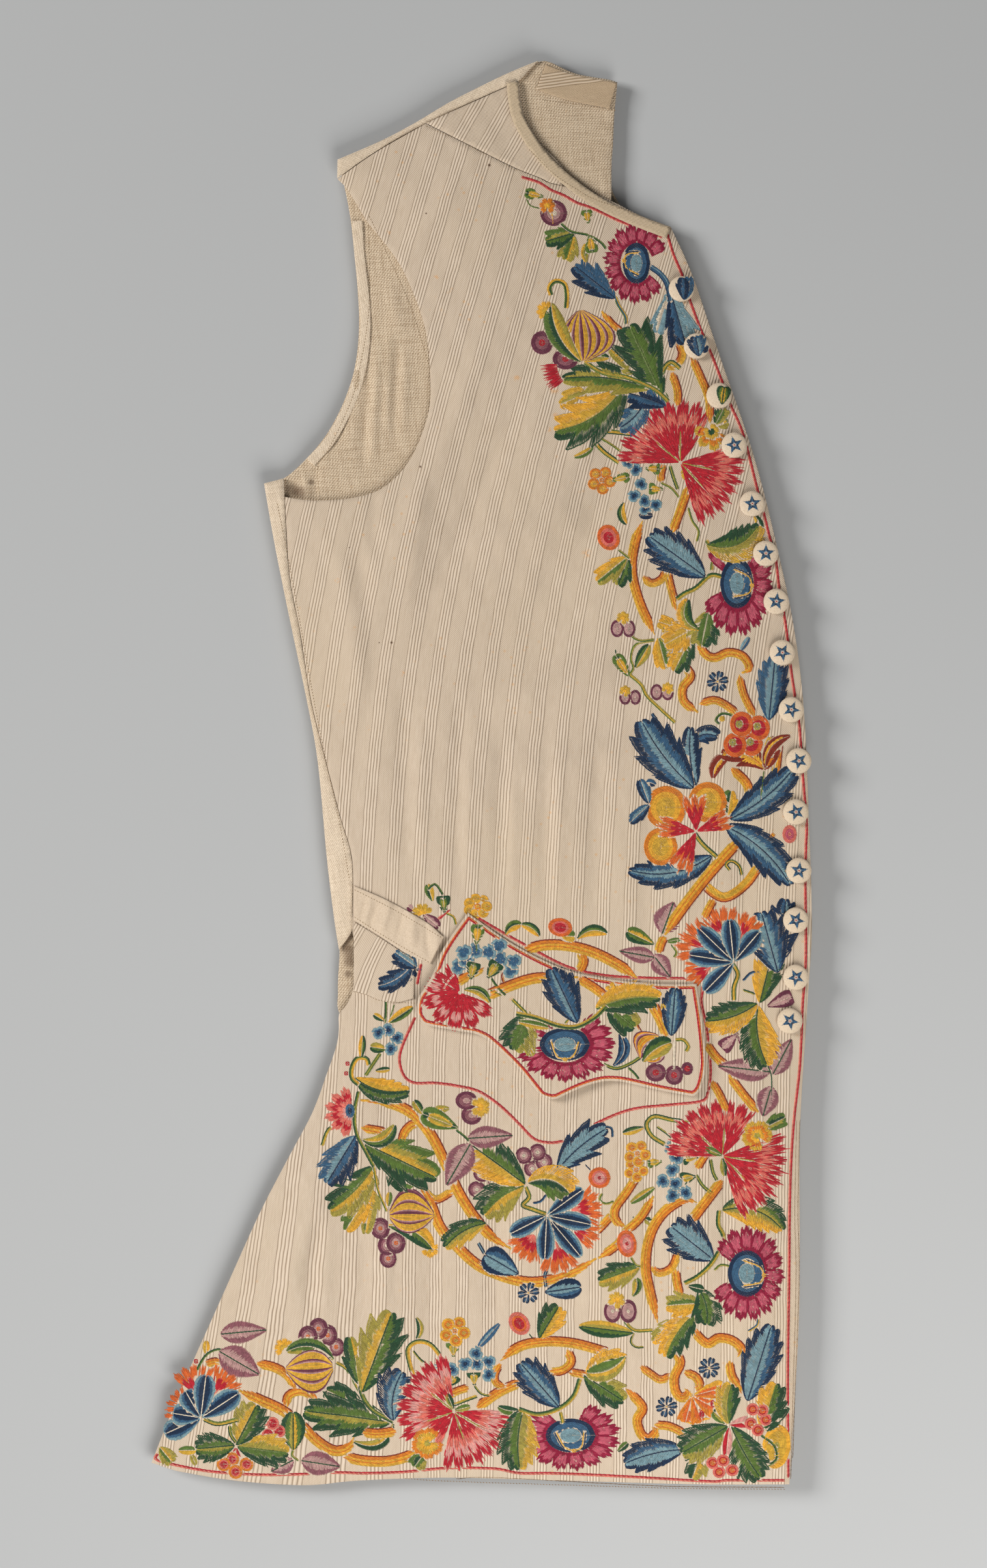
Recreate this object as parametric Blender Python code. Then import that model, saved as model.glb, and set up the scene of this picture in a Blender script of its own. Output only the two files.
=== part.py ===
"""Embroidered waistcoat, laid folded in half at the centre back, right front on top.

X runs across the cloth, Y up towards the neck and Z up from the table, with the origin under the middle.
Tables are in millimetres; meshes are made in metres.
"""

import math

import bmesh
import bpy
import numpy as np
from mathutils.geometry import delaunay_2d_cdt

MM = 0.001
CLOTH = 2.0  # one panel with its lining
BAND = 0.9  # a narrow band or a patch sewn onto a panel
SEAM_GAP = 0.3  # between pieces that are sewn edge to edge
LAYER_GAP = 0.8  # between panels that lie on each other
HIDDEN_GAP = 1.0  # between the back and the folded half under it
BAND_GAP = 0.35  # between a panel and what is sewn onto it
EDGE_POINT = 11.0  # spacing of the points along an outline
NET = (12.0, 21.0)  # spacing across and along the front's net of points
BACK_NET = (18.0, 22.0)  # the same for the back
HIDDEN_NET = (26.0, 30.0)  # and for the folded half under it
FLAT_NET = (900.0, 1200.0)  # a flat underside needs no points inside its outline

# How high the folded stack of hidden layers stands
LOW_EDGE = 4.6  # at the hem, the side and the armhole
HIGH_EDGE = 8.0  # along the buttons, where the layers are thickest
HIGH_EDGE_FROM, HIGH_EDGE_TO = 60.0, 190.0  # where the one rises to the other, across
LOFT = 8.5  # how much the middle stands above the edge
LOFT_REACH = 48.0  # how far in from the edge that takes
BESIDE_BACK = (28.0, 48.0)  # how far beside the back the folded half rises to meet the front

BUTTON_RADIUS = 8.5
BUTTON_EDGE = 2.2
BUTTON_CROWN = 1.3

# Outlines: (across, up) at the points that give each edge its shape, going round from the shoulder tip
SHOULDER = [(-96, 396), (-70, 414), (-36, 433), (14, 456), (25, 461)]
NECK = [(25, 461), (28, 439), (40, 418), (55, 402), (78, 385), (105, 372), (126, 364)]
BUTTON_EDGE_LINE = [
    (126, 364), (140, 333), (158, 280), (182, 209), (199, 141), (209, 91), (215, 38),
    (218, -32), (220, -101), (217, -155), (212, -240), (212, -312), (211, -374), (205, -474),
]
HEM = [
    (205, -474), (140, -474), (55, -472), (-22, -470), (-83, -472), (-117, -475),
    (-164, -472), (-205, -465), (-220, -460),
]
SKIRT_SIDE = [
    (-220, -460), (-200, -410), (-176, -356), (-149, -296), (-130, -259), (-113, -227),
    (-104, -203), (-96, -179), (-95, -161),
]
VENT = [(-95, -161), (-86, -146), (-85, -112), (-86, -105)]
SIDE_SEAM = [
    (-86, -105), (-86, -59), (-94, -29), (-106, 17), (-114, 51), (-121, 95), (-128, 133), (-131, 184),
]
FRONT_ARMHOLE = [
    (-131, 184), (-119, 182), (-94, 182), (-67, 189), (-48, 208), (-36, 237), (-34, 260),
    (-38, 298), (-54, 338), (-75, 366), (-90, 390), (-96, 396),
]
PIECING_SEAM = [(-37, 433), (-16, 422), (13, 407), (26, 401), (39, 396), (45, 393)]
BACK_SHOULDER = [(-96, 409), (-66, 422), (-40, 436), (-20, 448), (14, 465), (38, 475)]
BACK_NECK = [(38, 475), (45, 475), (63, 467), (85, 463), (91, 461)]
CENTRE_BACK = [(91, 461), (89, 440), (88, 419), (87, 381), (90, 200), (95, -100), (100, -466)]
BACK_HEM = [(100, -466), (-22, -464), (-117, -467), (-160, -461), (-196, -450)]
BACK_SKIRT_SIDE = [(-196, -450), (-165, -356), (-120, -259), (-96, -203), (-90, -172)]
BACK_SIDE = [
    (-96, -158), (-96, -137), (-95, -118), (-98, -99), (-103, -58), (-109, 6), (-116, 46),
    (-129, 108), (-138, 153), (-145, 193),
]
BACK_ARMHOLE = [
    (-145, 193), (-132, 197), (-123, 204), (-103, 227), (-87, 262), (-82, 301), (-86, 355), (-90, 383), (-96, 409),
]
FLAP_TOP = [(-9, -93), (22, -114), (55, -130), (87, -137), (119, -140), (143, -140)]
FLAP_RIGHT = [(143, -140), (147, -167), (149, -195), (145, -211), (141, -215)]
FLAP_BOTTOM = [
    (141, -215), (119, -211), (91, -205), (76, -206), (62, -211), (48, -217), (40, -215),
    (23, -195), (2, -176), (-13, -172), (-39, -167), (-43, -160),
]
FLAP_LEFT = [(-43, -160), (-42, -150), (-33, -135), (-26, -118), (-17, -104), (-9, -93)]
PATCH_TOP = [(-85, -75), (-62, -85), (-37, -99), (-25, -109)]
PATCH_END = [(-25, -109), (-34, -127)]
PATCH_FOOT = [(-34, -127), (-50, -120), (-70, -107), (-85, -98)]
INSERT_TOP = [(-85, -99), (-70, -108), (-50, -121), (-45, -124)]
INSERT_FOOT = [(-45, -150), (-60, -153), (-76, -148), (-85, -145)]

# The front's largest folds: a soft ridge from one point to another, with its half width and height
FOLDS = [
    dict(start=(-60, 150), end=(20, 330), width=26, height=1.6),
    dict(start=(-20, 60), end=(70, 290), width=24, height=2.1),
    dict(start=(60, 60), end=(120, 250), width=22, height=1.5),
    dict(start=(-95, 60), end=(-30, 190), width=20, height=1.7),
    dict(start=(-60, -60), end=(-72, 90), width=13, height=1.5),
    dict(start=(-30, -75), end=(-25, 60), width=12, height=1.9),
    dict(start=(0, -70), end=(-2, 30), width=10, height=2.0),
    dict(start=(28, -85), end=(30, 20), width=11, height=1.7),
    dict(start=(58, -110), end=(62, 40), width=12, height=1.9),
    dict(start=(92, -115), end=(98, 10), width=14, height=1.3),
    dict(start=(150, -130), end=(158, 60), width=17, height=1.4),
    dict(start=(120, 90), end=(150, 190), width=18, height=1.2),
    dict(start=(-100, -260), end=(-150, -372), width=16, height=3.0),
    dict(start=(-80, -190), end=(-62, -300), width=14, height=1.7),
    dict(start=(-48, -230), end=(-60, -400), width=16, height=1.9),
    dict(start=(-10, -240), end=(-12, -360), width=14, height=1.4),
    dict(start=(35, -235), end=(30, -350), width=15, height=1.5),
    dict(start=(85, -230), end=(90, -400), width=18, height=1.6),
    dict(start=(140, -240), end=(138, -380), width=20, height=1.3),
    dict(start=(-160, -380), end=(-182, -450), width=15, height=1.8),
    dict(start=(180, -180), end=(186, -420), width=15, height=1.2),
    dict(start=(-110, -350), end=(-118, -455), width=18, height=1.7),
    dict(start=(-30, 340), end=(10, 430), width=18, height=1.3),
    dict(start=(45, 300), end=(92, 362), width=17, height=1.2),
]

BUTTONS = [
    (133, 322), (143, 284), (158, 251), (168, 218), (180, 179), (189, 146), (196, 114), (200, 80),
    (206, 42), (211, 8), (209, -26), (211, -65), (209, -98), (209, -136), (205, -165),
]


def clear_scene():
    for thing in list(bpy.data.objects):
        bpy.data.objects.remove(thing, do_unlink=True)


def material(name, colour, roughness):
    made = bpy.data.materials.new(name)
    made.use_nodes = True
    shader = made.node_tree.nodes["Principled BSDF"]
    shader.inputs["Base Color"].default_value = (*colour, 1.0)
    shader.inputs["Roughness"].default_value = roughness
    shader.inputs["Metallic"].default_value = 0.0
    return made


def curve_through(points, spacing=EDGE_POINT):
    """Points along a smooth curve through the given ones, about the spacing apart."""
    p = [np.array(q, float) for q in points]
    p = [2 * p[0] - p[1]] + p + [2 * p[-1] - p[-2]]
    out = []
    for a, b, c, d in zip(p, p[1:], p[2:], p[3:]):
        steps = max(1, round(float(np.linalg.norm(c - b)) / spacing))
        for i in range(steps):
            t = i / steps
            bend = (2 * a - 5 * b + 4 * c - d) * t * t + (3 * b - a - 3 * c + d) * t**3
            out.append(0.5 * (2 * b + (c - a) * t + bend))
    return out + [p[-2]]


def closed_outline(*edges, spacing=EDGE_POINT):
    """One loop from edges that meet end to end, counter-clockwise."""
    loop = []
    for edge in edges:
        for point in curve_through(edge, spacing):
            if not loop or np.linalg.norm(point - loop[-1]) > 0.3 * min(spacing, 5.0):
                loop.append(point)
    while np.linalg.norm(loop[0] - loop[-1]) < 0.3 * min(spacing, 5.0):
        loop.pop()
    loop = np.array(loop)
    x, y = loop[:, 0], loop[:, 1]
    turn = float(np.sum(x * np.roll(y, -1) - np.roll(x, -1) * y))
    return loop if turn > 0 else loop[::-1]


def moved_in(loop, distance):
    """The loop moved inwards, with sharp corners kept from running away."""
    ahead = np.roll(loop, -1, axis=0) - loop
    ahead /= np.linalg.norm(ahead, axis=1)[:, None]
    behind = np.roll(ahead, 1, axis=0)
    way = np.stack([-(ahead[:, 1] + behind[:, 1]), ahead[:, 0] + behind[:, 0]], axis=1)
    size = np.linalg.norm(way, axis=1)[:, None]
    reach = np.minimum(2.0 / np.maximum(size, 1e-6), 1.6)
    return loop + way / np.maximum(size, 1e-6) * distance * reach


def distance_to(points, line, closed=False):
    """How far each point is from a line of straight stretches."""
    points = np.asarray(points, float)
    a = np.asarray(line, float)
    b = np.roll(a, -1, axis=0) if closed else a[1:]
    a = a if closed else a[:-1]
    run = b - a
    length = np.maximum((run**2).sum(1), 1e-9)
    best = np.full(len(points), 1e9)
    for start, way, square in zip(a, run, length):
        t = np.clip((points - start) @ way / square, 0, 1)
        best = np.minimum(best, np.linalg.norm(points - (start + t[:, None] * way), axis=1))
    return best


def inside(points, loop):
    """Whether each point is inside the loop."""
    points = np.asarray(points, float)
    within = np.zeros(len(points), bool)
    for (x0, y0), (x1, y1) in zip(loop, np.roll(loop, -1, axis=0)):
        if y0 == y1:
            continue
        crosses = (y0 > points[:, 1]) != (y1 > points[:, 1])
        at = (x1 - x0) * (points[:, 1] - y0) / (y1 - y0) + x0
        within ^= crosses & (points[:, 0] < at)
    return within


def smooth_step(value, low, high):
    t = np.clip((value - low) / (high - low), 0, 1)
    return t * t * (3 - 2 * t)


FRONT = closed_outline(SHOULDER, NECK, BUTTON_EDGE_LINE, HEM, SKIRT_SIDE, VENT, SIDE_SEAM, FRONT_ARMHOLE)
BACK = closed_outline(BACK_SHOULDER, BACK_NECK, CENTRE_BACK, BACK_HEM, BACK_SKIRT_SIDE, BACK_SIDE, BACK_ARMHOLE)
NECK_BELOW_BACK = [(87, 381), (105, 372), (126, 364)]
STACK = closed_outline(
    BACK_SHOULDER, BACK_NECK, CENTRE_BACK[:4], NECK_BELOW_BACK, BUTTON_EDGE_LINE, HEM, SKIRT_SIDE,
    [(-95, -161), (-96, -137)], BACK_SIDE[1:], BACK_ARMHOLE,
)


def stack_top(points):
    """Top of the folded left half, under the right back."""
    points = np.asarray(points, float)
    edge = LOW_EDGE + (HIGH_EDGE - LOW_EDGE) * smooth_step(points[:, 0], HIGH_EDGE_FROM, HIGH_EDGE_TO)
    depth = distance_to(points, STACK, closed=True)
    return edge + LOFT * (1 - np.exp(-depth / LOFT_REACH))


def folded_top(points):
    """The folded left half itself, which fills the space beside the back up to the front."""
    outside = np.where(inside(points, BACK), 0.0, distance_to(points, BACK, closed=True))
    return stack_top(points) + (HIDDEN_GAP + CLOTH) * smooth_step(outside, *BESIDE_BACK)


def back_top(points):
    return stack_top(points) + HIDDEN_GAP + CLOTH


def fold_height(points):
    """The front's largest folds, added up."""
    points = np.asarray(points, float)
    total = np.zeros(len(points))
    for fold in FOLDS:
        start, end = np.array(fold["start"], float), np.array(fold["end"], float)
        run = end - start
        t = (points - start) @ run / (run @ run)
        aside = np.linalg.norm(points - (start + t[:, None] * run), axis=1)
        along = smooth_step(t, -0.15, 0.35) * (1 - smooth_step(t, 0.65, 1.15))
        total += fold["height"] * along * np.exp(-((aside / fold["width"]) ** 2))
    return total * smooth_step(distance_to(points, FRONT, closed=True), 2, 26)


def front_underside(points):
    return back_top(points) + LAYER_GAP + fold_height(points)


def front_top(points):
    return front_underside(points) + CLOTH


def turned_top(points):
    """Top of the back's side and shoulder where they turn over, level with the front."""
    return back_top(points) + LAYER_GAP + CLOTH - 0.2


def net_of(loop, net):
    """Points inside a loop, kept off its edge."""
    low, high = loop.min(0), loop.max(0)
    across = np.arange(low[0] + net[0] / 2, high[0], net[0])
    up = np.arange(low[1] + net[1] / 2, high[1], net[1])
    points = [(x + (j % 2) * net[0] / 2, y) for j, y in enumerate(up) for x in across]
    points = np.reshape(points, (-1, 2))
    return points[inside(points, loop) & (distance_to(points, loop, closed=True) > 0.45 * min(*net, 60))]


def filled(loop, net):
    """The loop filled with triangles: its own points come first, then the net's."""
    points = [tuple(p) for p in np.concatenate([loop, net_of(loop, net)])]
    found, _, faces, _, _, _ = delaunay_2d_cdt(points, [], [list(range(len(loop)))], 1, 1e-4)
    if len(found) != len(points):
        raise ValueError("an outline touches itself")
    return np.array([tuple(p) for p in found]), faces


def solid(name, loop, top, bottom, finish, net=NET, under_net=None, rings=((0.0, 0.5),), soft=0.8):
    """A closed wall between two heights, its edge rounded through rings of (inset, share of the height)."""
    upper, upper_faces = filled(moved_in(loop, soft), net)
    lower, lower_faces = filled(moved_in(loop, soft), under_net or net)
    count = len(loop)
    high, low = top(upper), bottom(lower)
    mesh = bmesh.new()
    tops = [mesh.verts.new((x * MM, y * MM, z * MM)) for (x, y), z in zip(upper, high)]
    bottoms = [mesh.verts.new((x * MM, y * MM, z * MM)) for (x, y), z in zip(lower, low)]
    loops = [tops[:count]]
    for inset, share in rings:
        ring = moved_in(loop, inset)
        heights = low[:count] + (high[:count] - low[:count]) * share
        loops.append([mesh.verts.new((x * MM, y * MM, z * MM)) for (x, y), z in zip(ring, heights)])
    loops.append(bottoms[:count])
    for face in upper_faces:
        mesh.faces.new([tops[i] for i in face])
    for face in lower_faces:
        mesh.faces.new([bottoms[i] for i in reversed(face)])
    for over, under in zip(loops, loops[1:]):
        for i in range(count):
            j = (i + 1) % count
            mesh.faces.new([over[j], over[i], under[i], under[j]])
    return placed(name, mesh, finish)


def placed(name, mesh, finish):
    bmesh.ops.triangulate(mesh, faces=mesh.faces)
    bmesh.ops.recalc_face_normals(mesh, faces=mesh.faces)
    data = bpy.data.meshes.new(name)
    mesh.to_mesh(data)
    mesh.free()
    data.shade_smooth()
    data.set_sharp_from_angle(angle=math.radians(50))
    data.materials.append(finish)
    made = bpy.data.objects.new(name, data)
    bpy.context.scene.collection.objects.link(made)
    return made


def make_left_half(linen):
    layered = [(0.2, 0.78), (1.5, 0.52), (0.0, 0.26), (0.9, 0.05)]
    flat = lambda p: np.zeros(len(p))
    loop = moved_in(STACK, 1.0)[::2]
    solid("folded_left_half", loop, folded_top, flat, linen, HIDDEN_NET, FLAT_NET, rings=layered, soft=2.6)


def moved_aside(line, distance):
    """An open line moved to its right."""
    ahead = np.gradient(line, axis=0)
    ahead /= np.linalg.norm(ahead, axis=1)[:, None]
    return line + np.stack([ahead[:, 1], -ahead[:, 0]], axis=1) * distance


def band(name, line, widths, base, finish, net=(6.0, 9.0), spacing=9.0, thick=BAND, gap=BAND_GAP):
    """A narrow band to the right of a line, lying on a surface: widths are at its two sides."""
    line = np.array(curve_through(line, spacing))
    near, far = moved_aside(line, widths[0]), moved_aside(line, widths[1])
    loop = np.concatenate([near, far[::-1]])
    x, y = loop[:, 0], loop[:, 1]
    if float(np.sum(x * np.roll(y, -1) - np.roll(x, -1) * y)) < 0:
        loop = loop[::-1]
    return solid(
        name, loop, lambda p: base(p) + gap + thick, lambda p: base(p) + gap, finish, net, soft=0.35
    )


def make_back(lining, striped):
    solid(
        "back_right", moved_in(BACK, 0.3), back_top, lambda p: stack_top(p) + HIDDEN_GAP, lining, BACK_NET
    )
    side_outer = BACK_SIDE[2:]
    side_inner = [(x - SEAM_GAP, y) for x, y in SIDE_SEAM[::-1]]
    side = closed_outline(
        side_outer, [side_outer[-1], (-131.6, 196.5), side_inner[0]], side_inner, [side_inner[-1], side_outer[0]]
    )
    turned = lambda p: back_top(p) + 0.3
    solid("back_side_turned", side, turned_top, turned, striped, NET, soft=0.7)
    drop = 0.4
    shoulder_inner = [(x - drop * 0.5, y + drop) for x, y in SHOULDER]
    shoulder = closed_outline(
        BACK_SHOULDER, [BACK_SHOULDER[-1], shoulder_inner[-1]], shoulder_inner[::-1],
        [shoulder_inner[0], BACK_SHOULDER[0]],
    )
    solid("back_shoulder_turned", shoulder, turned_top, turned, striped, NET, soft=0.7)


def make_front(striped):
    piecing = np.array(curve_through(PIECING_SEAM))
    cut = moved_aside(piecing, SEAM_GAP / 2)
    over = moved_aside(piecing, -SEAM_GAP / 2)
    shoulder_left = [p for p in SHOULDER if p[0] < -37] + [tuple(cut[0])]
    neck_below = [tuple(cut[-1])] + [p for p in NECK if p[1] < 392]
    front = closed_outline(
        shoulder_left, cut, neck_below, BUTTON_EDGE_LINE, HEM, SKIRT_SIDE, VENT, SIDE_SEAM, FRONT_ARMHOLE
    )
    solid("front_right", front, front_top, front_underside, striped)
    shoulder_right = [tuple(over[0])] + [p for p in SHOULDER if p[0] > -36]
    neck_above = [p for p in NECK if p[1] > 400] + [tuple(over[-1])]
    wedge = closed_outline(shoulder_right, neck_above, over[::-1])
    solid("shoulder_piece", wedge, front_top, front_underside, striped)


def make_bands(twill, lining, striped):
    band("neck_binding", NECK, (0.6, 8.4), front_top, twill, gap=0.6)
    band("back_neck_facing", [(43, 473), (63, 466), (85, 462), (90.3, 460.5)], (0.6, 18.5), back_top, striped)
    armhole = [(-87, 368), (-85.5, 345), (-81.5, 301), (-86.5, 262), (-102, 228), (-117, 210)]
    band("armhole_binding", armhole, (-0.8, -7.6), back_top, lining)


def make_patches(plain, striped):
    over = lambda p: front_top(p) + BAND_GAP
    patch = closed_outline(PATCH_TOP, PATCH_END, PATCH_FOOT, [PATCH_FOOT[-1], PATCH_TOP[0]], spacing=6.0)
    puckers = lambda p: over(p) + BAND + 0.45 * (1 + np.sin(p[:, 0] * 0.62 + p[:, 1] * 0.25))
    solid("waist_patch", patch, puckers, over, plain, (4.0, 7.0), soft=0.4)
    insert = closed_outline(
        INSERT_TOP, [INSERT_TOP[-1], INSERT_FOOT[0]], INSERT_FOOT, [INSERT_FOOT[-1], INSERT_TOP[0]], spacing=6.0
    )
    solid("waist_insert", insert, lambda p: over(p) + BAND, over, striped, (8.0, 9.0), soft=0.4)


def make_flap(striped):
    """The pocket flap, lifting a little from its sewn top to its shaped lower edge."""
    top_line = np.array(curve_through(FLAP_TOP))
    lift = lambda p: 0.35 + 2.6 * smooth_step(distance_to(p, top_line), 4, 60)
    flap = closed_outline(FLAP_TOP, FLAP_RIGHT, FLAP_BOTTOM, FLAP_LEFT, spacing=7.0)
    rest = lambda p: front_top(p) + lift(p)
    solid("pocket_flap", flap, lambda p: rest(p) + CLOTH, rest, striped, (10.0, 12.0), soft=0.8)


def make_buttons(cloth):
    """Covered buttons: a low dome over a flat disc, each seated on the front."""
    sides = 16
    profile = [(0.0, 0.0), (0.9, 0.0), (1.0, 0.45), (0.9, 0.95)]
    for number, (x, y) in enumerate(BUTTONS, start=1):
        ring = [(x + BUTTON_RADIUS * math.cos(a), y + BUTTON_RADIUS * math.sin(a))
                for a in np.linspace(0, 2 * math.pi, sides, endpoint=False)]
        seat = float(front_top(np.array(ring + [(x, y)])).max()) + 0.3
        mesh = bmesh.new()
        rows = [[mesh.verts.new((x * MM, y * MM, seat * MM))]]
        crown = [(0.55, 1.0 + 0.7 * BUTTON_CROWN / BUTTON_EDGE), (0.0, 1.0 + BUTTON_CROWN / BUTTON_EDGE)]
        for share, height in profile[1:] + crown:
            z = (seat + BUTTON_EDGE * height) * MM
            if share == 0:
                rows.append([mesh.verts.new((x * MM, y * MM, z))])
                continue
            rows.append([
                mesh.verts.new(((x + (px - x) * share) * MM, (y + (py - y) * share) * MM, z)) for px, py in ring
            ])
        for under, over in zip(rows, rows[1:]):
            for i in range(sides):
                j = (i + 1) % sides
                corners = [under[i % len(under)], under[j % len(under)], over[j % len(over)], over[i % len(over)]]
                mesh.faces.new(list(dict.fromkeys(corners)))
        placed(f"button_{number:02d}", mesh, cloth)


def main():
    clear_scene()
    striped = material("striped_cloth", (0.63, 0.54, 0.43), 0.85)
    lining = material("lining_linen", (0.52, 0.43, 0.30), 0.9)
    twill = material("twill_binding", (0.62, 0.53, 0.42), 0.85)
    plain = material("plain_patch", (0.66, 0.57, 0.45), 0.85)
    covered = material("button_cloth", (0.70, 0.62, 0.51), 0.8)
    make_left_half(lining)
    make_back(lining, striped)
    make_front(striped)
    make_bands(twill, lining, striped)
    make_patches(plain, striped)
    make_flap(striped)
    make_buttons(covered)


main()
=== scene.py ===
import math

import bpy
import bmesh
import numpy as np
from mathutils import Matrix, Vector
from mathutils.bvhtree import BVHTree
from mathutils.geometry import delaunay_2d_cdt


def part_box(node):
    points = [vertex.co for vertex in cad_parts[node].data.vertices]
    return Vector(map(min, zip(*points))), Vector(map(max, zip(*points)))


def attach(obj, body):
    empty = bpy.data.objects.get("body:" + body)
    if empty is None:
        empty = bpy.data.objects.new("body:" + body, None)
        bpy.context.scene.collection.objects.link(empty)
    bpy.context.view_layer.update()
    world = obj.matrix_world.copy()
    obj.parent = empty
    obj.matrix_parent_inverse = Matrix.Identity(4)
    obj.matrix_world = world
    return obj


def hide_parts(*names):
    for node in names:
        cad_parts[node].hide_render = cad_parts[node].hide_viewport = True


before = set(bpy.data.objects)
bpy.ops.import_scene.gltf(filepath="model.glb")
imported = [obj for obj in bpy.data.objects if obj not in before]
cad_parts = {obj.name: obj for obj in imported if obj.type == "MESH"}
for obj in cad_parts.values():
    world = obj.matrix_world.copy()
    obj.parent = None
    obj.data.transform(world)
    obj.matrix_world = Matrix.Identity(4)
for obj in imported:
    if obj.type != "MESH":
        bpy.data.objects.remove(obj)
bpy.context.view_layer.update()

# The waistcoat lies folded in half on a pale board, seen from straight above.
mm = 0.001
chart = dict(unit=0.4334 * mm, middle=(739, 1187))  # the embroiderer's chart: units across and down its sheet
rng = np.random.default_rng(1750)


def dye(red, green, blue):
    channels = (red / 255, green / 255, blue / 255)
    return tuple(c / 12.92 if c < 0.04 else ((c + 0.055) / 1.055) ** 2.4 for c in channels)


# Shader maths as plain expressions
class Value:
    def __init__(self, paint, socket):
        self.paint, self.socket = paint, socket

    def maths(self, operation, *numbers):
        return self.paint.node("ShaderNodeMath", dict(operation=operation), numbers)

    def __add__(self, other):
        return self.maths("ADD", self, other)

    def __sub__(self, other):
        return self.maths("SUBTRACT", self, other)

    def __rsub__(self, other):
        return self.maths("SUBTRACT", other, self)

    def __mul__(self, other):
        return self.maths("MULTIPLY", self, other)

    def __truediv__(self, other):
        return self.maths("DIVIDE", self, other)

    def __pow__(self, other):
        return self.maths("POWER", self, other)

    __radd__, __rmul__ = __add__, __mul__

    def part(self):
        return self.maths("FRACT", self)

    def wave(self, length):
        return self.maths("SINE", self * (2 * math.pi / length))

    def size(self):
        return self.maths("ABSOLUTE", self)

    def ramp(self, low, high, start=0.0, end=1.0):
        settings = dict(interpolation_type="SMOOTHSTEP", clamp=True)
        return self.paint.node("ShaderNodeMapRange", settings, [self, low, high, start, end])


class Paint:
    def __init__(self, name, roughness=0.85, sheen=0.15):
        self.material = bpy.data.materials.new(name)
        self.material.use_nodes = True
        self.tree = self.material.node_tree
        self.shader = self.tree.nodes["Principled BSDF"]
        self.shader.inputs["Roughness"].default_value = roughness
        self.shader.inputs["Sheen Weight"].default_value = sheen
        self.shader.inputs["Sheen Roughness"].default_value = 0.5
        self.shader.inputs["Specular IOR Level"].default_value = 0.2
        self.place = self.node("ShaderNodeTexCoord", output="Object")

    def node(self, kind, settings=None, inputs=(), output=0):
        made = self.tree.nodes.new(kind)
        for key, value in (settings or {}).items():
            setattr(made, key, value)
        for key, value in inputs.items() if isinstance(inputs, dict) else enumerate(inputs):
            if isinstance(value, Value):
                self.tree.links.new(value.socket, made.inputs[key])
            else:
                made.inputs[key].default_value = value
        return Value(self, made.outputs[output])

    def mix(self, factor, first, second):
        first, second = (c if isinstance(c, Value) else (*c, 1.0) for c in (first, second))
        return self.node("ShaderNodeMix", dict(data_type="RGBA"), {0: factor, 6: first, 7: second}, 2)

    def axes(self, source):
        sockets = self.node("ShaderNodeSeparateXYZ", None, [source]).socket.node.outputs
        return [Value(self, socket) for socket in sockets]

    def weave(self):
        return self.node("ShaderNodeUVMap", dict(uv_map="weave"))

    def stretched(self, source, scale):
        return self.node("ShaderNodeVectorMath", dict(operation="MULTIPLY"), [source, scale])

    def noise(self, scale, detail=3.0, at=None):
        return self.node(
            "ShaderNodeTexNoise", None, dict(Vector=at or self.place, Scale=scale, Detail=detail),
        )

    def finish(self, colour, height=None, strength=1.0):
        self.tree.links.new(colour.socket, self.shader.inputs["Base Color"])
        if height is not None:
            bump = self.node("ShaderNodeBump", None, dict(Strength=strength, Distance=mm, Height=height))
            self.tree.links.new(bump.socket, self.shader.inputs["Normal"])
        return self.material


# The cloths. Their weave map is in millimetres, across the stripes and along them.
# The crest tone is a painted highlight and the groove tone a painted shade, laid on the cords by their height
stripes = dict(
    repeat=17.65, group=8.8, cord=2.0, edge=0.4, cordHeight=0.34, twill=1.3, twillHeight=0.07, slub=0.10,
    cream=dye(206, 188, 167), shade=dye(188, 168, 145), paintedGrooveShade=dye(116, 94, 72), ground=dye(198, 180, 158),
    crest=dye(222, 206, 186),
)
# Painted shade where the lining sinks into shadow: the tuck under the arm and the gap at the side vent
hollows = [
    (-126, 189, 7), (-121, 187, 6.5), (-113.5, 194, 3), (-91.5, -114, 7), (-88.4, -119, 7), (-88, -126, 6),
    (-88, -109, 5), (-89, -134, 4),
]
# Small holes and rust stains in the front, by their place and radius in millimetres
holes = [
    (5.2, 404.4, 1.5), (-36.8, 372.3, 0.9), (-59.8, 86.7, 1.3), (-68, 86.7, 0.7), (-40.7, 203.7, 1.1),
    (-88, 150, 0.6),
]
stains = [
    (23.8, 262.6, 3.4), (48.5, 254.4, 4.2), (49, 237, 3.6), (45, 228, 2.6), (69.8, 146, 4.4),
    (14.7, 271.7, 2.2),
    (-30, 330, 2.4), (-62, 360, 2.2), (-84, 96, 2.2), (-52, 66, 2.6), (30, 84, 1.8), (-96, 128, 2.4),
    (20, -150, 2.6),
    (6, -142, 2.0), (62, -262, 1.6), (-75, 30, 2.2),
]


def agedBy(paint, colour, rust):
    patchy = paint.noise(7.0, 4.0).ramp(0.4, 0.8)
    colour = paint.mix(patchy * 0.3, colour, dye(198, 178, 148))
    spots = paint.node("ShaderNodeTexVoronoi", None, dict(Vector=paint.place, Scale=150.0))
    often = paint.noise(16.0, 2.0).ramp(0.5, 0.68)
    return paint.mix(spots.ramp(0.22, 0.05) * often * rust, colour, dye(198, 150, 96))


# Real rust stains and holes on the front; on the lining the same dark spots are painted shade in its hollows
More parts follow.
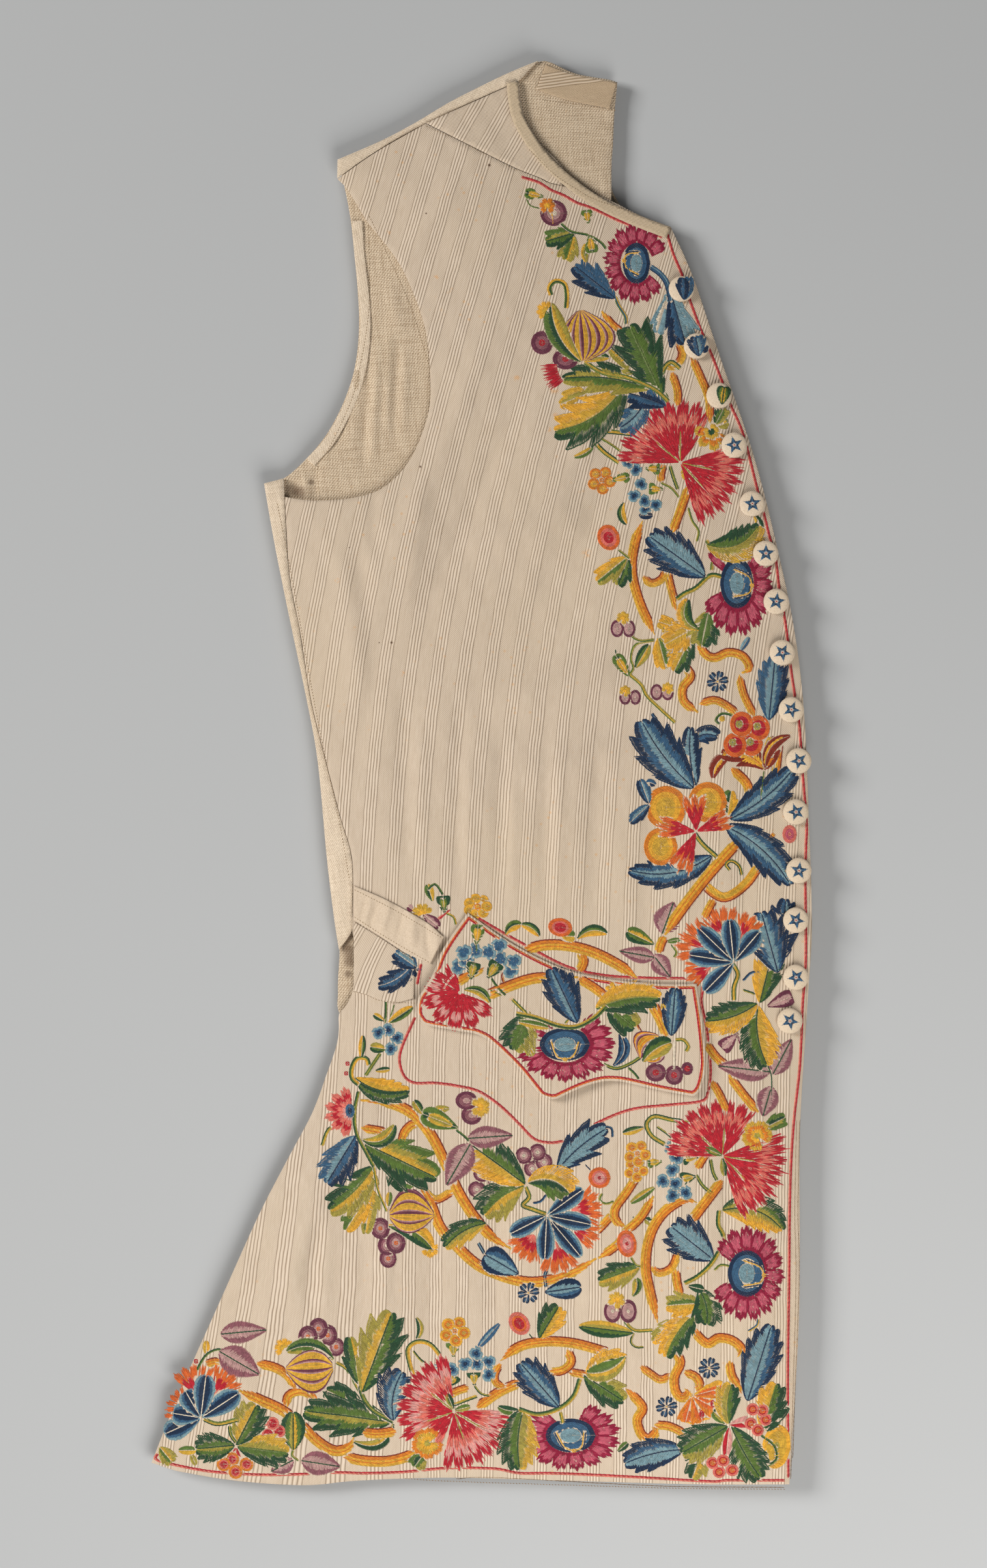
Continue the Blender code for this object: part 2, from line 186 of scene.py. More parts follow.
def wearAndPaintedShade(paint, colour, holes, stains, darkest=0.95):
    flat = paint.stretched(paint.place, (1, 1, 0))
    blotch = paint.noise(420.0, 2.0).ramp(0.42, 0.6)
    for places, tone, share in ((stains, dye(206, 148, 84), 0.5), (holes, dye(84, 58, 38), darkest)):
        for x, y, radius in places:
            away = paint.node(
                "ShaderNodeVectorMath", dict(operation="DISTANCE"), [flat, (x * mm, y * mm, 0)], 1,
            )
            amount = away.ramp(radius * mm, 0.2 * radius * mm) * share
            colour = paint.mix(amount * blotch if places is stains else amount, colour, tone)
    return colour


def stripedCloth(name, rust=0.5, worn=((), ()), **changes):
    s = dict(stripes, **changes)
    paint = Paint(name, 0.82, 0.2)
    weave = paint.weave()
    u, v, _ = paint.axes(weave)
    u = u + (paint.noise(0.045, 2.0, weave) - 0.5) * 1.6
    across = (u / s["repeat"]).part() * s["repeat"]
    corded = across.ramp(0.0, 0.35) * across.ramp(s["group"], s["group"] - 0.35)
    ridge = (across - s["edge"]).wave(2 * s["cord"]).size()
    twill = (u + v * 1.15).wave(s["twill"])
    slubs = paint.noise(1.0, 3.0, paint.stretched(weave, (1.3, 0.09, 1.0)))
    grain = paint.noise(2.3, 2.0, weave)
    raised = corded * (ridge ** 0.55 * s["cordHeight"]) + (1 - corded) * (twill * s["twillHeight"] + 0.16)
    height = raised + slubs * s["slub"] + grain * 0.07
    colour = paint.mix(slubs.ramp(0.3, 0.75), s["shade"], s["cream"])
    colour = paint.mix((1 - corded) * 0.5, colour, s["ground"])
    # Painted highlight on the cord crests, painted shade in the grooves between cords and in the twill's
    # troughs
    colour = paint.mix(corded * ridge.ramp(0.6, 1.0) * 0.5, colour, s["crest"])
    colour = paint.mix(corded * (ridge.ramp(0.6, 0.0) * 0.66 + 0.05), colour, s["paintedGrooveShade"])
    colour = paint.mix((1 - corded) * twill.ramp(0.1, -1.0) * 0.16, colour, s["paintedGrooveShade"])
    return paint.finish(wearAndPaintedShade(paint, agedBy(paint, colour, rust), *worn), height)


linens = dict(
    pitch=1.05, light=dye(226, 206, 178), dark=dye(158, 132, 103), coarse=0.36, rust=0.25, hollows=(),
)


def linenCloth(name, **changes):
    s = dict(linens, **changes)
    paint = Paint(name, 0.9, 0.1)
    weave = paint.weave()
    drift = (paint.noise(0.03, 2.0, weave) - 0.5) * 2.2
    u, v, _ = paint.axes(weave)
    u, v = u + drift, v + drift * 0.7
    over = (u.wave(2 * s["pitch"]) * v.wave(2.16 * s["pitch"])).ramp(-0.4, 0.4)
    body = over * (u.wave(s["pitch"]) * 0.5 + 0.5) + (1 - over) * (v.wave(1.08 * s["pitch"]) * 0.5 + 0.5)
    thick = paint.noise(0.8, 2.0, paint.stretched(weave, (1.0, 0.06, 1.0)))
    thick = thick + paint.noise(0.8, 2.0, paint.stretched(weave, (0.06, 1.0, 1.0)))
    height = body * s["coarse"] + thick * 0.16
    colour = paint.mix(body.ramp(0.0, 0.8), s["dark"], s["light"])
    colour = paint.mix(thick.ramp(0.95, 1.3) * 0.45, colour, s["light"])
    colour = paint.mix(thick.ramp(1.0, 0.7) * 0.4, colour, s["dark"])
    # The lining's hollows get painted shade: soft dark spots laid on its colour
    return paint.finish(wearAndPaintedShade(paint, agedBy(paint, colour, s["rust"]), s["hollows"], (), 0.6), height)


def twillTape(name, light=dye(208, 188, 160), dark=dye(168, 146, 116)):
    paint = Paint(name, 0.88, 0.15)
    weave = paint.weave()
    u, v, _ = paint.axes(weave)
    lines = (u + v).wave(1.3)
    fuzz = paint.noise(1.4, 3.0, weave)
    colour = paint.mix((lines * 0.3 + fuzz).ramp(0.1, 0.9), dark, light)
    return paint.finish(agedBy(paint, colour, 0.35), lines * 0.09 + fuzz * 0.16)


def plainCotton(name, light=dye(207, 188, 165), dark=dye(186, 166, 142)):
    paint = Paint(name, 0.86, 0.25)
    weave = paint.weave()
    fuzz = paint.noise(1.1, 4.0, weave)
    threads = paint.noise(2.2, 2.0, paint.stretched(weave, (1.0, 0.2, 1.0)))
    colour = paint.mix((fuzz * 0.6 + threads * 0.4).ramp(0.3, 0.7), dark, light)
    return paint.finish(agedBy(paint, colour, 0.15), fuzz * 0.12 + threads * 0.08)


def crewelWool(name):
    paint = Paint(name, 0.8, 0.08)
    tint = paint.node("ShaderNodeAttribute", dict(attribute_name="tint"))
    fibre = paint.noise(2600.0, 2.0)
    uneven = paint.noise(420.0, 2.0)
    shade = (fibre * 0.5 + uneven * 0.5).ramp(0.3, 0.7)
    dark = paint.node("ShaderNodeVectorMath", dict(operation="MULTIPLY"), [tint, (0.62, 0.60, 0.60)])
    return paint.finish(paint.mix(shade, dark, tint), fibre * 0.12)


def paleBoard(name, grey=dye(171, 172, 172)):
    paint = Paint(name, 0.95, 0.0)
    return paint.finish(paint.mix(paint.noise(2.0, 2.0), grey, tuple(c * 1.03 for c in grey)))


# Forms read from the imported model: outlines from above, heights by looking straight down
def welded(name):
    mesh = bmesh.new()
    mesh.from_mesh(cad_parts[name].data)
    bmesh.ops.remove_doubles(mesh, verts=mesh.verts, dist=2e-6)
    mesh.normal_update()
    return mesh


def widestLoop(mesh):
    rim = [e for e in mesh.edges if len({f.normal.z > 0 for f in e.link_faces}) == 2]
    beside = {}
    for edge in rim:
        for a, b in (edge.verts, reversed(edge.verts)):
            beside.setdefault(a, []).append(b)
    loops, left = [], set(beside)
    while left:
        at = min(left, key=lambda p: p.index)
        loop = []
        while at in left:
            left.discard(at)
            loop.append(at.co.xy[:])
            at = next((b for b in beside[at] if b in left), at)
        loops.append(np.array(loop))
    loop = max(loops, key=lambda points: np.linalg.norm(points - np.roll(points, 1, axis=0), axis=1).sum())
    x, y = loop.T
    return loop if (x * np.roll(y, -1) - np.roll(x, -1) * y).sum() > 0 else loop[::-1]


def rounded(points, spacing, closed=False):
    p = np.asarray(points, float)
    around = np.concatenate([p[-1:], p, p[:2]]) if closed else np.concatenate(
        [[2 * p[0] - p[1]], p, [2 * p[-1] - p[-2]]]
    )
    out = []
    for a, b, c, d in zip(around, around[1:], around[2:], around[3:]):
        steps = max(1, math.ceil(np.linalg.norm(c - b) / spacing))
        t = (np.arange(steps) / steps)[:, None]
        bend, twist = 2 * a - 5 * b + 4 * c - d, 3 * b - a - 3 * c + d
        out.append(0.5 * (2 * b + (c - a) * t + bend * t**2 + twist * t**3))
    return np.concatenate(out if closed else out + [p[-1:]])


def smoothOutline(loop, spacing, corner=38):
    ahead = np.roll(loop, -1, axis=0) - loop
    behind = loop - np.roll(loop, 1, axis=0)
    aside = behind[:, 0] * ahead[:, 1] - behind[:, 1] * ahead[:, 0]
    turn = np.abs(np.degrees(np.arctan2(aside, (behind * ahead).sum(1))))
    corners = np.flatnonzero(turn > corner)
    if not len(corners):
        return rounded(loop, spacing, closed=True)
    loop = np.roll(loop, -corners[0], axis=0)
    corners = [*(corners - corners[0]), len(loop)]
    loop = np.concatenate([loop, loop[:1]])
    return np.concatenate([rounded(loop[a : b + 1], spacing)[:-1] for a, b in zip(corners, corners[1:])])


def movedIn(loop, distance):
    ahead = np.roll(loop, -1, axis=0) - loop
    ahead /= np.maximum(np.linalg.norm(ahead, axis=1), 1e-9)[:, None]
    way = ahead + np.roll(ahead, 1, axis=0)
    size = np.maximum(np.linalg.norm(way, axis=1), 0.6)[:, None]
    aside = np.stack([-way[:, 1], way[:, 0]], axis=1) / size
    return loop + aside * np.reshape(distance, (-1, 1)) * np.minimum(2 / size, 1.5)


def isInside(points, loop):
    within = np.zeros(len(points), bool)
    for (x0, y0), (x1, y1) in zip(loop, np.roll(loop, -1, axis=0)):
        if y0 != y1:
            crosses = (y0 > points[:, 1]) != (y1 > points[:, 1])
            within ^= crosses & (points[:, 0] < (x1 - x0) * (points[:, 1] - y0) / (y1 - y0) + x0)
    return within


def distanceTo(points, line):
    best = np.full(len(points), 9.0)
    for start, end in zip(line, line[1:]):
        run = end - start
        t = np.clip((points - start) @ run / max(run @ run, 1e-12), 0, 1)
        best = np.minimum(best, np.hypot(*(points - start - t[:, None] * run).T))
    return best


def gridOver(low, high, step):
    across, up = np.arange(low[0], high[0], step), np.arange(low[1], high[1], step * 0.87)
    return np.array([(x + (j % 2) * step / 2, y) for j, y in enumerate(up) for x in across])


def filledWith(loop, step, fine=None):
    points = gridOver(loop.min(0), loop.max(0), step)
    if fine:
        low, high = np.array(fine["low"]) * mm, np.array(fine["high"]) * mm
        outside = ((points < low - step / 3) | (points > high + step / 3)).any(1)
        points = np.concatenate([points[outside], gridOver(low, high, fine["step"] * mm)])
        step = fine["step"] * mm
    points = points[isInside(points, loop)]
    if len(points):
        points = points[distanceTo(points, np.concatenate([loop, loop[:1]])) > 0.5 * step]
    every = np.concatenate([loop, points]) if len(points) else loop
    made, _, faces, same, _, _ = delaunay_2d_cdt(
        [Vector(p) for p in every], [], [list(range(len(loop)))], 1, 1e-7
    )
    extra = [i for i, given in enumerate(same) if not given]
    number = {i: given[0] for i, given in enumerate(same) if given}
    number.update({i: len(every) + k for k, i in enumerate(extra)})
    if extra:
        every = np.concatenate([every, [made[i][:] for i in extra]])
    return every, np.array([[number[i] for i in face] for face in faces])


def heightsOn(tree, points, fromAbove=True):
    start, way = (1.0, -1.0) if fromAbove else (-1.0, 1.0)
    heights = np.full(len(points), np.nan)
    for i, (x, y) in enumerate(points):
        hit = tree.ray_cast(Vector((x, y, start)), Vector((0, 0, way)))[0]
        if hit is None:
            hit = tree.find_nearest(Vector((x, y, 0.02 if fromAbove else 0.0)))[0]
        heights[i] = hit.z
    return heights


def relaxed(heights, faces, held, rounds):
    pairs = np.concatenate([faces[:, [0, 1]], faces[:, [1, 2]], faces[:, [2, 0]]])
    pairs = np.concatenate([pairs, pairs[:, ::-1]])
    count = np.bincount(pairs[:, 0], minlength=len(heights))
    for _ in range(rounds):
        mean = np.bincount(pairs[:, 0], heights[pairs[:, 1]], minlength=len(heights)) / np.maximum(count, 1)
        mean[:held] = heights[:held]
        heights = 0.35 * heights + 0.65 * mean
    return heights


def softStep(value, low, high):
    t = np.clip((value - low) / (high - low), 0, 1)
    return t * t * (3 - 2 * t)


def stripeMap(points):
    x, up = points[:, 0] / mm, points[:, 1] / mm
    lean = 0.16 * (up - 90 + np.sqrt((up - 90) ** 2 + 170**2)) - 4.65
    flare = 0.13 * np.maximum(0, -170 - up) * softStep(-x, 40, 190)
    return np.stack([x - lean + flare, up], axis=1)


def bentMap(points):
    x, up = points[:, 0] / mm, points[:, 1] / mm + 117
    return np.stack([0.87 * (x - 0.52 * up - 0.004 * up**2) - 6.2, up], axis=1)


def turnedMap(degrees, middle=(0, 0)):
    c, s = math.cos(math.radians(degrees)), math.sin(math.radians(degrees))
    return lambda p: (p / mm - middle) @ np.array([[c, -s], [s, c]])


def meshFrom(name, points, faces, finish, weave=None):
    mesh = bpy.data.meshes.new(name)
    mesh.from_pydata(points.tolist(), [], faces)
    mesh.materials.append(finish)
    mesh.shade_smooth()
    if weave is not None:
        corners = np.zeros(len(mesh.loops), np.int32)
        mesh.loops.foreach_get("vertex_index", corners)
        mesh.uv_layers.new(name="weave").data.foreach_set("uv", weave(points[:, :2])[corners].ravel())
    made = bpy.data.objects.new(name, mesh)
    bpy.context.scene.collection.objects.link(made)
    return made


# The wall's faces from ring to ring, each ring given by the number of its first point
def wallBetween(starts, count):
    quads = []
    for above, below in zip(starts, starts[1:]):
        for i in range(count):
            j = (i + 1) % count
            quads.append([above + j, above + i, below + i, below + j])
    return quads


def placed(piece, slot, *nodes):
    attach(piece, "root")
    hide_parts(*nodes)
    return piece


shapes = {}


def clothPiece(name, finish, s, weave=stripeMap, shape=None):
    form = welded(s["node"])
    tree = BVHTree.FromBMesh(form)
    step, soft = s["step"] * mm, s["soft"] * mm
    rim = smoothOutline(widestLoop(form), min(step, 3.5 * mm))
    for corner in s.get("corners", ()):
        place = np.array(corner) * mm
        rim[np.hypot(*(rim - place).T).argmin()] = place
    edge = movedIn(rim, soft)
    net, faces = filledWith(edge, step, s.get("fine"))
    lower, lowerFaces = filledWith(edge, 14 * mm)
    count = len(edge)
    high = relaxed(heightsOn(tree, net), faces, 0, 2)
    if s.get("flush"):  # its edge stays as high as the cloth a little way in, so no groove shows at the seam
        high[:count] = heightsOn(tree, movedIn(rim, s["flush"] * mm))
    high = relaxed(high, faces, count, s["smooth"])
    if shape is not None:
        high = high + shape(net)
    low = heightsOn(tree, lower, False)
    rings = []
    for inset, share in ((0.3, 0.86), (0.0, 0.5), (0.3, 0.14)):
        level = low[:count] + (high[:count] - low[:count]) * share
        rings.append(np.column_stack([movedIn(rim, soft * inset), level]))
    points = np.concatenate([np.column_stack([net, high]), *rings, np.column_stack([lower, low])])
    starts = [0, len(net), len(net) + count, len(net) + 2 * count, len(net) + 3 * count]
    every = faces.tolist() + wallBetween(starts, count) + (lowerFaces[:, ::-1] + starts[-1]).tolist()
    piece = meshFrom(name, points, every, finish, weave)
    shapes[name] = (points.tolist(), every)
    placed(piece, s["slot"], s["node"])


# Creases between the large folds, in millimetres: x and y of the start, x and y of the end, width, height
creases = [
    (8, 42, 98, 68, 15, 1.5), (-8, 148, 78, 172, 14, 1.1),
    (26, -6, 104, 20, 11, 1.1), (-38, 192, -51, 106, 6.5, 0.9),
    (-72, 190, -71, 146, 4, -0.7), (-97, 160, -78, 36, 7, 0.7),
    (-84, 168, -70, 60, 5, -0.5), (60, 210, 100, 250, 12, 0.8),
    (-119, -272, -150, -344, 5.5, -0.9), (-107, -276, -132, -352, 8, 1.0),
    (-138, -328, -172, -368, 5, -0.8), (-150, -322, -180, -360, 7, 0.6),
    (-109, -296, -115, -364, 4.5, -0.7), (-56, -320, -59, -352, 4, -0.6),
    (-101, -300, -106, -368, 5, 0.7), (-76, -300, -80, -372, 5, -0.6),
    (-70, 120, 10, 300, 7, 0.5), (-45, 90, 40, 280, 6, -0.45),
    (20, 90, 90, 290, 8, 0.5), (60, 130, 110, 270, 6, -0.4),
    (-84, 0, -60, 120, 6, -0.5), (-50, -70, -52, 60, 5, -0.7),
    (-40, -75, -40, 40, 4, 0.6), (-16, -75, -14, 50, 4.5, -0.8),
    (-8, -80, -10, 20, 4, 0.5), (12, -85, 14, 30, 5, -0.8),
    (20, -90, 21, 10, 3.5, 0.5), (42, -95, 44, 40, 5, -0.7),
    (50, -100, 52, 20, 4, 0.6), (74, -110, 78, 30, 6, -0.7),
    (110, -120, 112, 0, 7, -0.5), (134, -130, 136, 40, 6, 0.5),
    (172, -150, 176, 40, 5, -0.45), (-70, -180, -52, -290, 6, -0.8),
    (-86, -200, -84, -300, 7, 0.7), (-30, -240, -34, -380, 6, -0.7),
    (-60, -300, -70, -430, 6, 0.6), (12, -235, 8, -380, 6, -0.7),
    (22, -240, 20, -330, 4, 0.5), (60, -235, 60, -360, 6, -0.6),
    (112, -235, 114, -400, 7, -0.6), (165, -210, 163, -400, 6, -0.5),
    (-150, -400, -160, -455, 6, 0.5), (-90, -380, -96, -460, 6, -0.6),
    (-60, 330, 0, 420, 7, 0.5), (10, 330, 70, 390, 8, -0.5),
]
liningFolds = [
    (-74, 285, -79, 198, 2.8, -1.0), (-69, 285, -73, 205, 3.6, 1.3),
    (-82, 280, -87, 210, 5, 0.8), (-56, 290, -58, 214, 2.4, -0.9),
    (-61, 300, -64, 220, 3.5, 0.8), (-65.4, 262, -67, 228, 2, -0.6),
    (-50, 285, -52, 224, 3, 0.8), (-48, 330, -40, 290, 4, -0.6),
    (-92, 250, -100, 205, 4, -0.5), (92, 400, 96, 470, 5, 0.6),
    (112, 380, 114, 470, 6, -0.5), (-98, -40, -92, -112, 3, 0.6),
    (-95, -104, -89, -124, 3.2, -1.1), (-127, 196, -122, 184, 2.4, -0.9),
    (-118, 200, -116, 184, 2.2, 0.9), (-110, 206, -111, 182, 2.2, -0.7),
    (-96, 330, -92, 240, 5, 0.9), (-62, 330, -54, 290, 5, 0.9),
]
patchFolds = [
    (-69, -87, -75, -105, 1.5, -0.5), (-50, -87, -57, -112, 1.7, -0.6),
    (-37, -98, -35, -121, 1.5, -0.8), (-76, -83, -81, -98, 1.5, -0.4),
    (-60, -84, -67, -107, 3.2, 0.9), (-44, -90, -47, -117, 3.6, 1.0),
    (-30, -103, -29, -119, 2.8, 0.8), (-73, -84, -78, -100, 1.8, 0.6),
]


def folded(points, table):
    p = points / mm
    total = np.zeros(len(p))
    for x0, y0, x1, y1, width, height in table:
        start, end = np.array((x0, y0), float), np.array((x1, y1), float)
        run = end - start
        t = (p - start) @ run / (run @ run)
        aside = np.hypot(*(p - start - t[:, None] * run).T)
        ridge = height * softStep(t, -0.1, 0.3) * (1 - softStep(t, 0.7, 1.1))
        total += ridge * np.exp(-((aside / width) ** 2))
    return total


def creased(points):
    x, y = (points / mm).T
    rumple = np.sin(x * 0.21 + 1.7 * np.sin(y * 0.043)) * np.sin(y * 0.11 + x * 0.05 + 1.3 * np.sin(x * 0.06))
    pucker = np.sin(x * 0.62 + 2.1 * np.sin(y * 0.09)) * np.sin(y * 0.55 + 1.9 * np.sin(x * 0.07))
    slow = np.sin((x * 0.8 + y * 0.45) * 0.052 + 1.1 * np.sin(y * 0.013)) * softStep(y, -160, -20)
    return (np.maximum(2.1 * folded(points, creases), -1.2) + 0.24 * rumple + 0.1 * pucker + 0.35 * slow) * mm


def liningRumple(points):
    x, y = (points / mm).T
    rumple = 0.3 * np.sin(x * 0.09 + y * 0.05 + np.sin(y * 0.03)) + 0.2 * np.sin(y * 0.16 - x * 0.11)
    return (np.maximum(1.5 * folded(points, liningFolds), -1.1) + rumple) * mm


def puckered(points):
    x, y = (points / mm).T
    ripple = 0.12 * np.sin(x * 1.3 + y * 0.7) * np.sin(y * 1.1)
    return (np.maximum(1.9 * folded(points, patchFolds), -0.9) + ripple) * mm


def layeredHalf(name, finish, s):
    layers = len(s["layers"])
    form = welded(s["node"])
    tree = BVHTree.FromBMesh(form)
    rim = smoothOutline(widestLoop(form), 7 * mm)
    edge = movedIn(rim, 2.6 * mm)
    net, faces = filledWith(edge, 16 * mm)
    high = heightsOn(tree, net)
    count = len(edge)
    around = np.linspace(0, 2 * math.pi, count, endpoint=False)
    points, starts = [np.column_stack([net, high])], [0, len(net)]
    for layer, back in enumerate(s["layers"]):
        stray = back + 0.55 * np.sin(
            around * (7 + 3 * layer) + layer * 2.1
        ) + 0.35 * np.sin(around * (19 + 5 * layer) + layer)
        for inset, share in ((2.4, 0.97), (0.1, 0.76), (0.1, 0.28), (2.4, 0.04)):
            level = high[:count] * (1 - (layer + 1 - share) / layers)
            points.append(np.column_stack([movedIn(rim, (np.abs(stray) + inset) * mm), level]))
            starts.append(starts[-1] + count)
    flat, flatFaces = filledWith(movedIn(rim, 2.6 * mm), 60 * mm)
    points.append(np.column_stack([flat, np.zeros(len(flat))]))
    every = faces.tolist() + wallBetween(starts, count) + (flatFaces[:, ::-1] + starts[-1]).tolist()
    piece = placed(meshFrom(name, np.concatenate(points), every, finish, turnedMap(0)), s["slot"], s["node"])


print("cloth")
striped = stripedCloth("stripedDimity", worn=(holes, stains))
lining = linenCloth("liningLinen", hollows=hollows)
turned = linenCloth("turnedLinen", pitch=0.8, light=dye(234, 215, 190), dark=dye(190, 169, 143), coarse=0.24)
heaped = linenCloth("foldedLinen", pitch=0.8, light=dye(206, 186, 158), dark=dye(160, 138, 108))

halfUnder = dict(
    node="folded_left_half", slot="lining_linen", layers=(0.8, 2.2, 1.0, 2.6), flat=(0.436, 0.947),
    area=0.29, held="folded", on=["board"],
)
layeredHalf("foldedHalf", heaped, halfUnder)

backCut = dict(
    node="back_right", slot="lining_linen", step=7, soft=0.9, smooth=6,
    fine=dict(low=(-134, 178), high=(-28, 382), step=2.1),
    flat=(0.296, 0.943), area=0.193, held="folded", on=["foldedHalf"],
)
clothPiece("backLining", lining, backCut, turnedMap(4), liningRumple)

backSideCut = dict(
    node="back_side_turned", slot="striped_cloth", step=3, soft=0.15, smooth=10, flush=1.6,
    flat=(0.019, 0.317), area=0.0026, held="folded", on=["backLining"],
)
clothPiece("backSide", turned, backSideCut, turnedMap(9), liningRumple)

backShoulderCut = dict(
    node="back_shoulder_turned", slot="striped_cloth", step=3, soft=0.15, smooth=10, flush=1.6,
    flat=(0.015, 0.156), area=0.00092, held="folded", on=["backLining"],
)
clothPiece("backShoulder", turned, backShoulderCut, turnedMap(-25), liningRumple)

facingCut = dict(
    node="back_neck_facing", slot="striped_cloth", step=2.2, soft=0.6, smooth=10,
    flat=(0.02, 0.051), area=0.0009, held="laid", on=["backLining"],
)
facingTones = dict(
    group=11.0, repeat=40.0, cream=dye(192, 168, 138), ground=dye(186, 162, 132), shade=dye(174, 150, 120),
)
clothPiece(
    "neckFacing", stripedCloth("facingStripe", 0.2, **facingTones), facingCut, turnedMap(98, (66, 459)),
)

armholeCut = dict(
    node="armhole_binding", slot="lining_linen", step=2.2, soft=0.4, smooth=10,
    flat=(0.01, 0.178), area=0.0012, held="laid", on=["backLining"],
)
clothPiece("armholeBand", turned, armholeCut, turnedMap(35))

frontCut = dict(
    node="front_right", slot="striped_cloth", step=3.2, soft=0.3, smooth=10,
    flat=(0.442, 0.912), area=0.27, held="laid", on=["backLining", "foldedHalf"],
)
clothPiece("frontPanel", striped, frontCut, shape=creased)

wedgeCut = dict(
    node="shoulder_piece", slot="striped_cloth", step=2.6, soft=0.1, smooth=10, flush=1.6,
    corners=((54, 391), (48, 392.4)),
    flat=(0.072, 0.072), area=0.0026, held="laid", on=["frontPanel", "backLining"],
)
clothPiece("shoulderWedge", striped, wedgeCut, turnedMap(-30), creased)

neckBandCut = dict(
    node="neck_binding", slot="twill_binding", step=2, soft=0, smooth=10,
    flat=(0.01, 0.155), area=0.00121, held="laid", on=["frontPanel", "shoulderWedge"],
)
clothPiece("neckBand", twillTape("twillBinding"), neckBandCut, turnedMap(30))

insertCut = dict(
    node="waist_insert", slot="striped_cloth", step=2.2, soft=0.35, smooth=10,
    flat=(0.041, 0.055), area=0.00156, held="laid", on=["frontPanel"],
)
clothPiece("waistInsert", striped, insertCut, bentMap)

patchCut = dict(
    node="waist_patch", slot="plain_patch", step=1.4, soft=0.4, smooth=4,
    flat=(0.026, 0.071), area=0.0015, held="laid", on=["frontPanel", "waistInsert"],
)
clothPiece("waistPatch", plainCotton("patchCotton"), patchCut, turnedMap(-30), puckered)

flapCut = dict(
    node="pocket_flap", slot="striped_cloth", step=2.4, soft=0.8, smooth=10,
    flat=(0.193, 0.124), area=0.0136, held="laid", on=["frontPanel"],
)
clothPiece("pocketFlap", striped, flapCut)


def coveredButton(number, finish, sides=40):
    node = f"button_{number:02d}"
    low, high = (Vector(c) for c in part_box(node))
    x, y = (low.x + high.x) / 2, (low.y + high.y) / 2
    radius, height = (high.x - low.x) / 2, high.z - low.z
    profile = [
        (0.86, 0.0), (0.97, 0.1), (1.0, 0.3), (0.985, 0.48), (0.93, 0.62), (0.8, 0.74), (0.6, 0.87),
        (0.35, 0.96), (0.15, 0.99),
    ]
    angles = np.linspace(0, 2 * math.pi, sides, endpoint=False)
    points = [(x, y, low.z)]
    for share, level in profile:
        points += [
            (x + radius * share * math.cos(a), y + radius * share * math.sin(a), low.z + height * level)
            for a in angles
        ]
    points.append((x, y, high.z))
    faces = [[0, 1 + (i + 1) % sides, 1 + i] for i in range(sides)]
    for ring in range(len(profile) - 1):
        for i in range(sides):
            a, b = 1 + ring * sides + i, 1 + ring * sides + (i + 1) % sides
            faces.append([a, b, b + sides, a + sides])
    last = 1 + (len(profile) - 1) * sides
    faces += [[last + i, last + (i + 1) % sides, len(points) - 1] for i in range(sides)]
    points = np.array(points)
    piece = meshFrom(
        f"coveredButton{number:02d}", points, faces, finish, turnedMap(7 * number, (x / mm, y / mm)),
    )
    shapes[piece.name] = (points.tolist(), faces)
    return placed(piece, "button_cloth", node)


buttonCount = 15
buttonCloth = plainCotton("buttonCloth", dye(214, 196, 172), dye(190, 170, 145))
buttons = [coveredButton(number, buttonCloth) for number in range(1, buttonCount + 1)]


# Crewel work. Yarn colours, then the stitches, which are laid on the cloth from points on the chart.
yarn = dict(
    gold=dye(232, 176, 58), amber=dye(222, 134, 42), brown=dye(140, 52, 36), yellow=dye(214, 172, 62),
    crimson=dye(150, 28, 60), rose=dye(196, 92, 110), blush=dye(222, 160, 150), red=dye(190, 36, 50),
    salmon=dye(222, 120, 104), orange=dye(222, 110, 48), navy=dye(30, 52, 80), blue=dye(62, 100, 130),
    sky=dye(128, 160, 168), forest=dye(44, 80, 52), green=dye(96, 122, 54), lime=dye(172, 158, 70),
    plum=dye(116, 58, 76), mauve=dye(198, 158, 152), pale=dye(232, 218, 194), dusk=dye(154, 98, 106),
    # edge: a dark yarn for the painted shade lines at the layer edges
    thread=dye(166, 142, 110), edge=dye(132, 108, 80),
)
sheetSize = (2420, 1520)  # the chart's units down and across
grounds = {name: np.zeros(sheetSize, bool) for name in ("front", "flap", "button", "trim")}
work = dict(ground="front", sewn=[], fresh=[])


def chartToTable(points):
    return (np.asarray(points, float) - chart["middle"]) * (chart["unit"], -chart["unit"])


def tableToChart(points):
    return points[:, :2] / (chart["unit"], -chart["unit"]) + chart["middle"]


def sew(points, tone, wide=1.02, lift=0.32):
    ground = grounds[work["ground"]]
    hidden = sum(ground[int(y), int(x)] for x, y in points)
    if hidden * 2 < len(points):
        tint = np.array(yarn[tone]) * rng.uniform(0.86, 1.12)
        work["fresh"].append((np.array(points), tint, wide * rng.uniform(0.92, 1.08), lift))


def settle():
    ground = grounds[work["ground"]]
    for points, _, _, _ in work["fresh"]:
        for start, end in zip(points, points[1:]):
            for t in np.linspace(0, 1, 5):
                x, y = (start + (end - start) * t).astype(int)
                ground[y - 1 : y + 2, x - 1 : x + 2] = True
    work["sewn"] += [(work["ground"], *stitch) for stitch in work["fresh"]]
    work["fresh"] = []


def tangents(line):
    run = np.gradient(line, axis=0)
    return run / np.maximum(np.linalg.norm(run, axis=1), 1e-9)[:, None]


